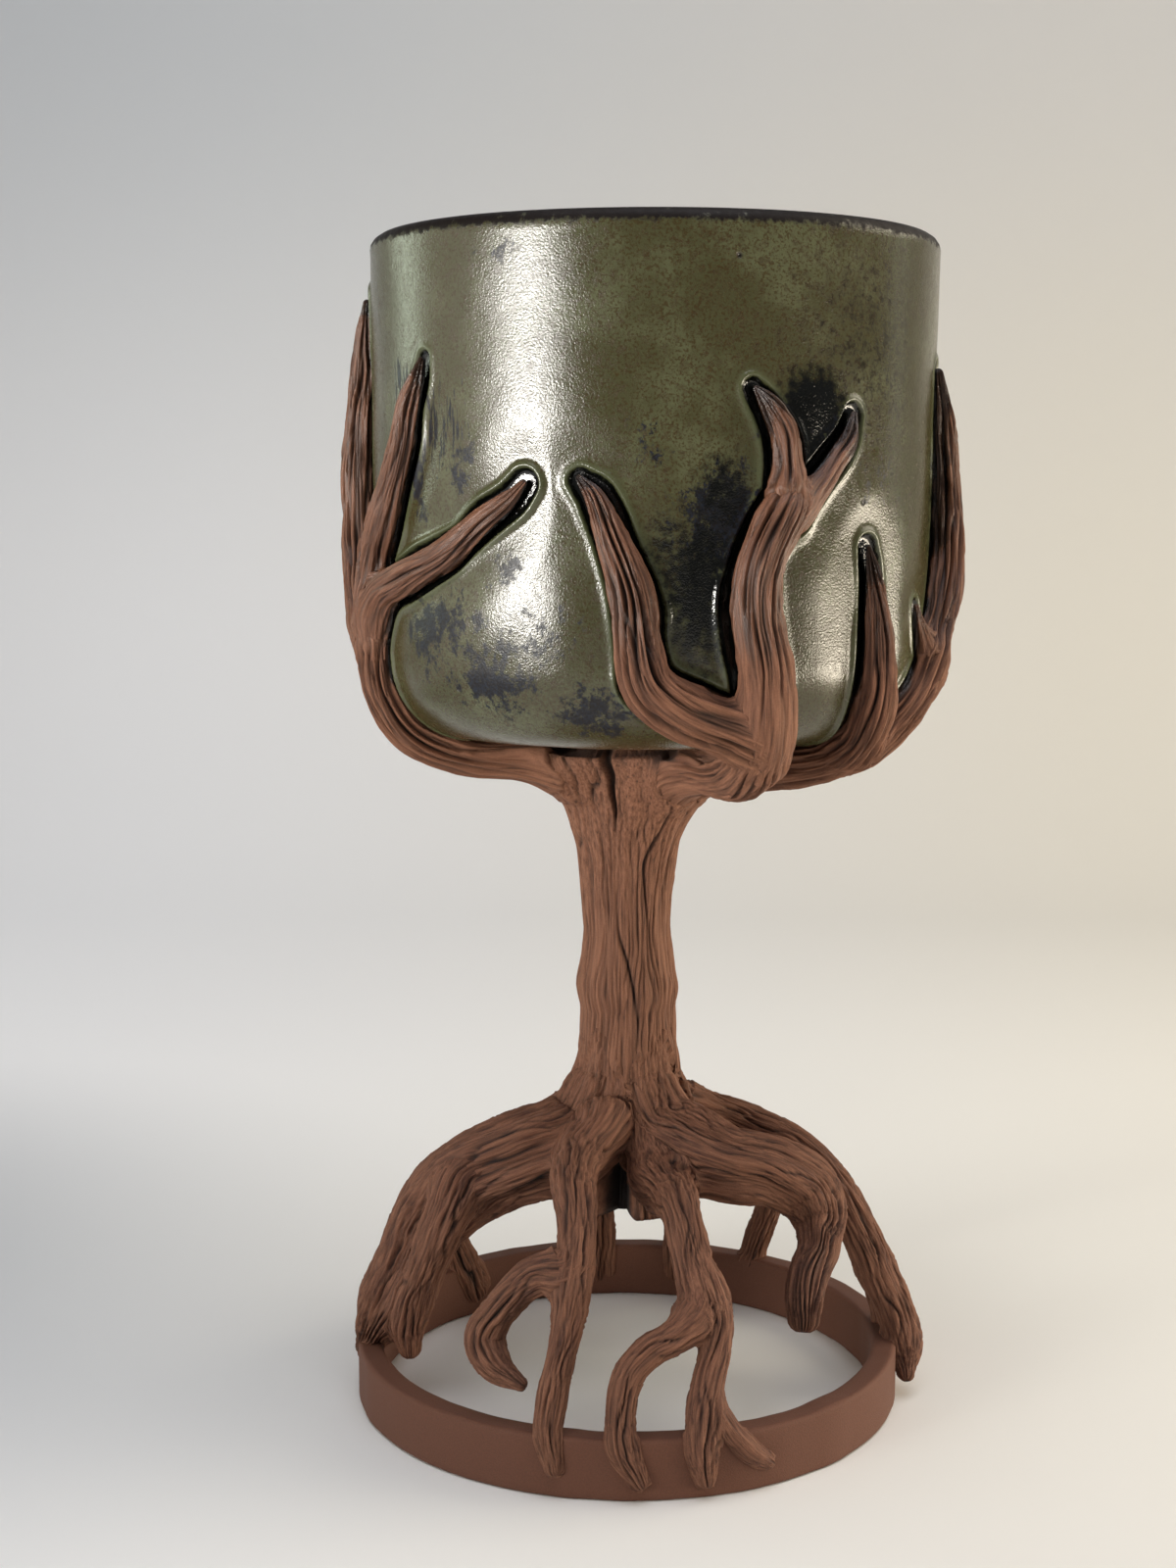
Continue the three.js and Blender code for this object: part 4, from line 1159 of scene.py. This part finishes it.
def glazeOnClay(limb, points, row):
    gap, _ = cupGap(points)
    x, y, z = points.T / creep["wobbleWide"]
    wobble = creep["wobble"] * noise(x, y, z, limb["seed"] + draws["creep"])
    left = limb["run"][-1] - np.interp(row, np.arange(len(limb["run"])), limb["run"])
    over = points[:, 2] - stemTop
    beside = smooth(*creep["besideRange"], gap + wobble) * smooth(*creep["highRange"], over)
    dipped = 0
    if limb["tip"]:
        dipped = smooth(*creep["tipRange"], left - limb["tip"] + creep["tipWobble"] * wobble)
    dipped = creep["tipShare"] * dipped * smooth(*creep["tipAway"], gap + wobble)
    sheen = creep["sheen"] * smooth(*creep["sheenRange"], over)
    return np.clip(np.maximum(np.maximum(beside, dipped), sheen), 0, 1)


def overlap(one, other):
    reach = coil["reach"]
    return np.all((one["low"] - reach < other["high"]) & (other["low"] - reach < one["high"]))


def makeLimbPiece(limb, others, material):
    points, spoke, row, turn, faces = limbSkin(limb)
    scoop = np.zeros(len(points))
    if limb["kind"] == "trunk":
        scoop = archScoop(points)
        points[:, :2] *= (1 - scoop)[:, None]
        spoke = nearTrunk(limb, points)[1]
    moved, creviceShade, grain = joinSkin(limb, points, spoke, row, turn, others)
    glassy = glazeOnClay(limb, moved, row) if "tip" in limb else np.zeros(len(points))
    moved, creviceShade = cutCleft(moved, creviceShade)
    moved, creviceShade = openGap(moved, creviceShade)
    # painted shade inside the open arch at the trunk's foot
    creviceShade = np.maximum(creviceShade, smooth(*trunk["archDark"], scoop))
    toast = limb["bark"]["toast"] * smooth(*toastRange, moved[:, 2] - coil["spring"])
    values = {"creviceShade": creviceShade, "glassy": glassy, "toast": toast, "grain": grain * mm}
    makePiece("clay_" + limb["name"], moved, faces, values, material, limb["name"])


def makeTree(material):
    limbs = [makeLimb("trunk", trunkStations(), "trunk", seeds["trunk"])]
    for number, (name, (thickness, tip, route)) in enumerate(branches.items()):
        path = branchStations(thickness, route, limbs)
        limb = makeLimb(name, path, "branch", seeds["branch"] + seeds["apart"] * number)
        limb["tip"] = tip
        limb["free"] = route[-1][2] < limbEnd["blunt"]
        limbs.append(limb)
    for number, (name, (thickness, route)) in enumerate(roots.items()):
        path = rootStations(thickness, route, limbs)
        seed = seeds["root"] + seeds["apart"] * number
        limbs.append(makeLimb(name, path, "root", seed, strands.get(name, 0)))
    ring = {
        "name": "foot_ring", "near": nearRing, "kind": "ring", "bark": barks["ring"], "seed": seeds["ring"],
        "low": np.array([-ringOut, -ringOut, 0]), "high": np.array([ringOut, ringOut, ringTall]),
        "run": np.array([0.0, 1.0]), "radius": np.array([ringOut, ringOut]),
    }
    for limb in limbs:
        others = [other for other in limbs + [ring] if other is not limb and overlap(limb, other)]
        makeLimbPiece(limb, others, material)
    makeRing(ring, material)
    print("tree made:", len(limbs), "limbs and the ring")
    return limbs


# The cup: thrown, then pressed in between the branches
cupSkin = {
    "step": 0.9, "insideStep": 2.2, "finer": 3, "fineRange": (-2.2, 3.4),  # mm from a branch
    "floorRings": 14, "cornerRings": 8, "lipRings": 9, "pole": 2, "outside": 0.05, "far": 30.0, "reach": 24,
}
bead = {"off": 1.7, "wander": 0.35, "wanderWide": 7, "wide": 0.6, "high": 0.5, "share": (0.7, 0.5),
        "moat": 0.7, "moatWide": 0.7, "poolAndShadeWide": 0.6, "poolAndShadeShare": 0.75, "tone": 0.8}
pillow = {  # the panels between branches
    "high": 0.4, "near": (1.2, 9), "far": (23, 10), "low": (2, 8), "top": (60, 40),
}
bulge = {"turn": -34, "height": 127, "wide": 26, "tall": 12, "high": 1}  # the full panel at the lower left
thrown = {  # a wall that is not quite true
    "uneven": 0.15, "size": (14, 14, 11), "droop": (0.4, 0.15), "droopFrom": 50,
}
rimBare = {"range": (-4, -0.8), "share": 0.8}
cupSeeds = {"wander": 31, "uneven": 32}
# Where the glaze pooled dark, with painted shade in the hollows between branches and on the cup's right
# side, or broke into flecks and streaks:
# turn, height, half width in degrees, half height, strength
poolsAndShade = [
    (8, 134, 9, 14, 0.7), (12, 148, 7, 8, 0.55), (30, 161, 8, 6, 0.85), (28, 155, 8, 6, 0.7),
    (78, 150, 8, 16, 0.5), (52, 131, 5, 12, 0.3), (14, 127, 8, 5, 0.6), (42, 168, 26, 24, 0.33),
    (2, 140, 6, 8, 0.5),
]
flecks = [
    (-46, 129, 15, 9, 0.38), (-32, 121, 15, 7, 0.39), (-12, 117, 13, 6, 0.4), (-20, 128, 14, 8, 0.32),
    (-34, 126, 26, 14, 0.31), (-30, 138, 12, 6, 0.31),
    (-40, 153, 8, 8, 0.34), (-52, 150, 6, 12, 0.36), (12, 144, 14, 14, 0.4), (30, 158, 14, 8, 0.4),
    (0, 156, 10, 7, 0.3), (46, 150, 16, 12, 0.27), (60, 178, 20, 8, 0.24), (20, 178, 25, 8, 0.2),
    (180, 135, 70, 14, 0.36), (120, 150, 30, 15, 0.33), (-30, 182, 12, 5, 0.28),
]
streaks = [
    (-45, 158, 14, 12, 0.45), (-58, 164, 6, 10, 0.45), (12, 136, 12, 16, 0.34), (36, 158, 12, 8, 0.34),
]


def cupProfile():  # out and up, from the middle of the base, over the lip, to the middle of the floor
    rows = []
    corner, lip, pole = cup["corner"], cup["lip"], cupSkin["pole"]
    straight = cup["foot"] - corner
    for out in np.linspace(pole, straight, cupSkin["floorRings"], endpoint=False):
        rows.append((out, stemTop))
    for lean in np.linspace(0, math.pi / 2, int(math.pi / 2 * corner / cupSkin["step"]), endpoint=False):
        rows.append((straight + corner * math.sin(lean), stemTop + corner * (1 - math.cos(lean))))
    low, high = stemTop + corner, stemTop + cupTall - lip
    for height in np.linspace(low, high, int((high - low) / cupSkin["step"]), endpoint=False):
        rows.append((cup["foot"] + (cupRim - cup["foot"]) * (height - low) / (cupTall - corner), height))
    for lean in np.linspace(0, math.pi, cupSkin["lipRings"]):
        rows.append((cupRim - lip * (1 - math.cos(lean)), high + lip * math.sin(lean)))
    floor = stemTop + cup["floor"]
    inner = corner - cup["wall"]
    wallIn = cup["foot"] - cup["wall"]
    for height in np.linspace(high, floor + inner, int((high - low) / cupSkin["insideStep"]))[1:]:
        climb = (height - floor - inner) / (high - floor - inner)
        rows.append((wallIn + (cupRim - 2 * lip - wallIn) * climb, height))
    for lean in np.linspace(0, math.pi / 2, cupSkin["cornerRings"])[1:]:
        rows.append((wallIn - inner * (1 - math.cos(lean)), floor + inner * (1 - math.sin(lean))))
    for out in np.linspace(wallIn - inner, pole, cupSkin["floorRings"])[1:]:
        rows.append((out, floor))
    return np.array(rows)


def spots(table, turn, height):
    total = np.zeros(len(turn))
    for middle, level, wide, tall, strength in table:
        apart = (turn - middle + 180) % 360 - 180
        total = np.maximum(total, strength * np.exp(-(apart / wide) ** 2 - ((height - level) / tall) ** 2))
    return total


def branchGap(boughs, points, outside):  # distance to the nearest branch, on the outside of the cup
    gap = np.full(len(points), cupSkin["far"])
    for limb in boughs:
        low, high = limb["low"] - cupSkin["reach"], limb["high"] + cupSkin["reach"]
        near = np.all((points > low) & (points < high), axis=1)
        if near.any():
            gap[near] = np.minimum(gap[near], nearLimb(limb, points[near])[0])
    return np.where(outside, gap, cupSkin["far"])


def cupDraft(boughs):  # the thrown shape, with finer faces beside the branches
    rows = cupProfile()
    angle = np.linspace(0, 2 * math.pi, int(2 * math.pi * cupRim / cupSkin["step"]), endpoint=False)
    out, up = rows[:, :1], rows[:, 1:]
    points = np.stack([cupLean + out * np.sin(angle), -out * np.cos(angle), up + 0 * angle], axis=-1)
    points = np.vstack([points.reshape(-1, 3), (cupLean, 0, stemTop), (cupLean, 0, stemTop + cup["floor"])])
    outside = np.abs(cupGap(points)[0]) < cupSkin["outside"]
    gap = branchGap(boughs, points, outside)
    mesh = bpy.data.meshes.new("cupDraft")
    mesh.from_pydata(points.tolist(), [], closedFaces(len(rows), len(angle)))
    work = bmesh.new()
    work.from_mesh(mesh)
    work.verts.ensure_lookup_table()
    nearest, furthest = cupSkin["fineRange"]
    near = (gap > nearest) & (gap < furthest)
    chosen = [face for face in work.faces if any(near[corner.index] for corner in face.verts)]
    edges = list({edge for face in chosen for edge in face.edges})
    bmesh.ops.subdivide_edges(work, edges=edges, cuts=cupSkin["finer"], use_grid_fill=True)
    work.verts.index_update()
    points = np.array([corner.co for corner in work.verts])
    faces = [[corner.index for corner in face.verts] for face in work.faces]
    work.free()
    bpy.data.meshes.remove(mesh)
    return points, faces


def makeCup(limbs, material):
    boughs = [limb for limb in limbs if "tip" in limb]
    points, faces = cupDraft(boughs)
    apart, way = cupGap(points)
    outside = np.abs(apart) < cupSkin["outside"]
    gap = branchGap(boughs, points, outside)
    turn = np.degrees(np.arctan2(points[:, 0] - cupLean, -points[:, 1]))
    height = points[:, 2].copy()
    over = height - stemTop
    wander = noise(*(points.T / bead["wanderWide"]), cupSeeds["wander"])
    off = bead["off"] * (1 + bead["wander"] * wander)
    crest = np.exp(-((gap - off) / bead["wide"]) ** 2)
    moat = smooth(off, off - bead["moatWide"], gap)
    panel = smooth(*pillow["near"], gap) * smooth(*pillow["far"], gap)
    panel = panel * smooth(*pillow["low"], over) * smooth(*pillow["top"], over)
    least, more = bead["share"]
    rise = bead["high"] * (least + more * wander) * crest - bead["moat"] * moat + pillow["high"] * panel
    rise = rise + thrown["uneven"] * noise(*(points / thrown["size"]).T, cupSeeds["uneven"])
    side, level = (turn - bulge["turn"]) / bulge["wide"], (height - bulge["height"]) / bulge["tall"]
    rise = rise + bulge["high"] * np.exp(-side ** 2 - level ** 2)
    points = points + way * np.where(outside, rise, 0)[:, None]
    lean = np.radians(turn)
    droop = -thrown["droop"][0] * np.cos(2 * lean) - thrown["droop"][1] * np.sin(lean)
    points[:, 2] += droop * smooth(thrown["droopFrom"], cupTall, over)
    # pooled glaze with a painted contact shadow in the moat beside each branch
    beside = bead["poolAndShadeShare"] * smooth(off, off - bead["poolAndShadeWide"], gap)
    values = {
        "poolAndShade": np.maximum(spots(poolsAndShade, turn, height), beside) * outside,
        "fleck": spots(flecks, turn, height),
        "streak": spots(streaks, turn, height),
        "bead": crest * bead["tone"],
        "rim": smooth(*rimBare["range"], over - cupTall) * rimBare["share"],
    }
    makePiece("glazed_cup", points, faces, values, material, "cup")
    print("cup made:", len(faces), "faces")


setCamera()
setStage()
setLamps()
print("camera and stage set")
limbs = makeTree(stonewareBare())
makeCup(limbs, glazeOlive())
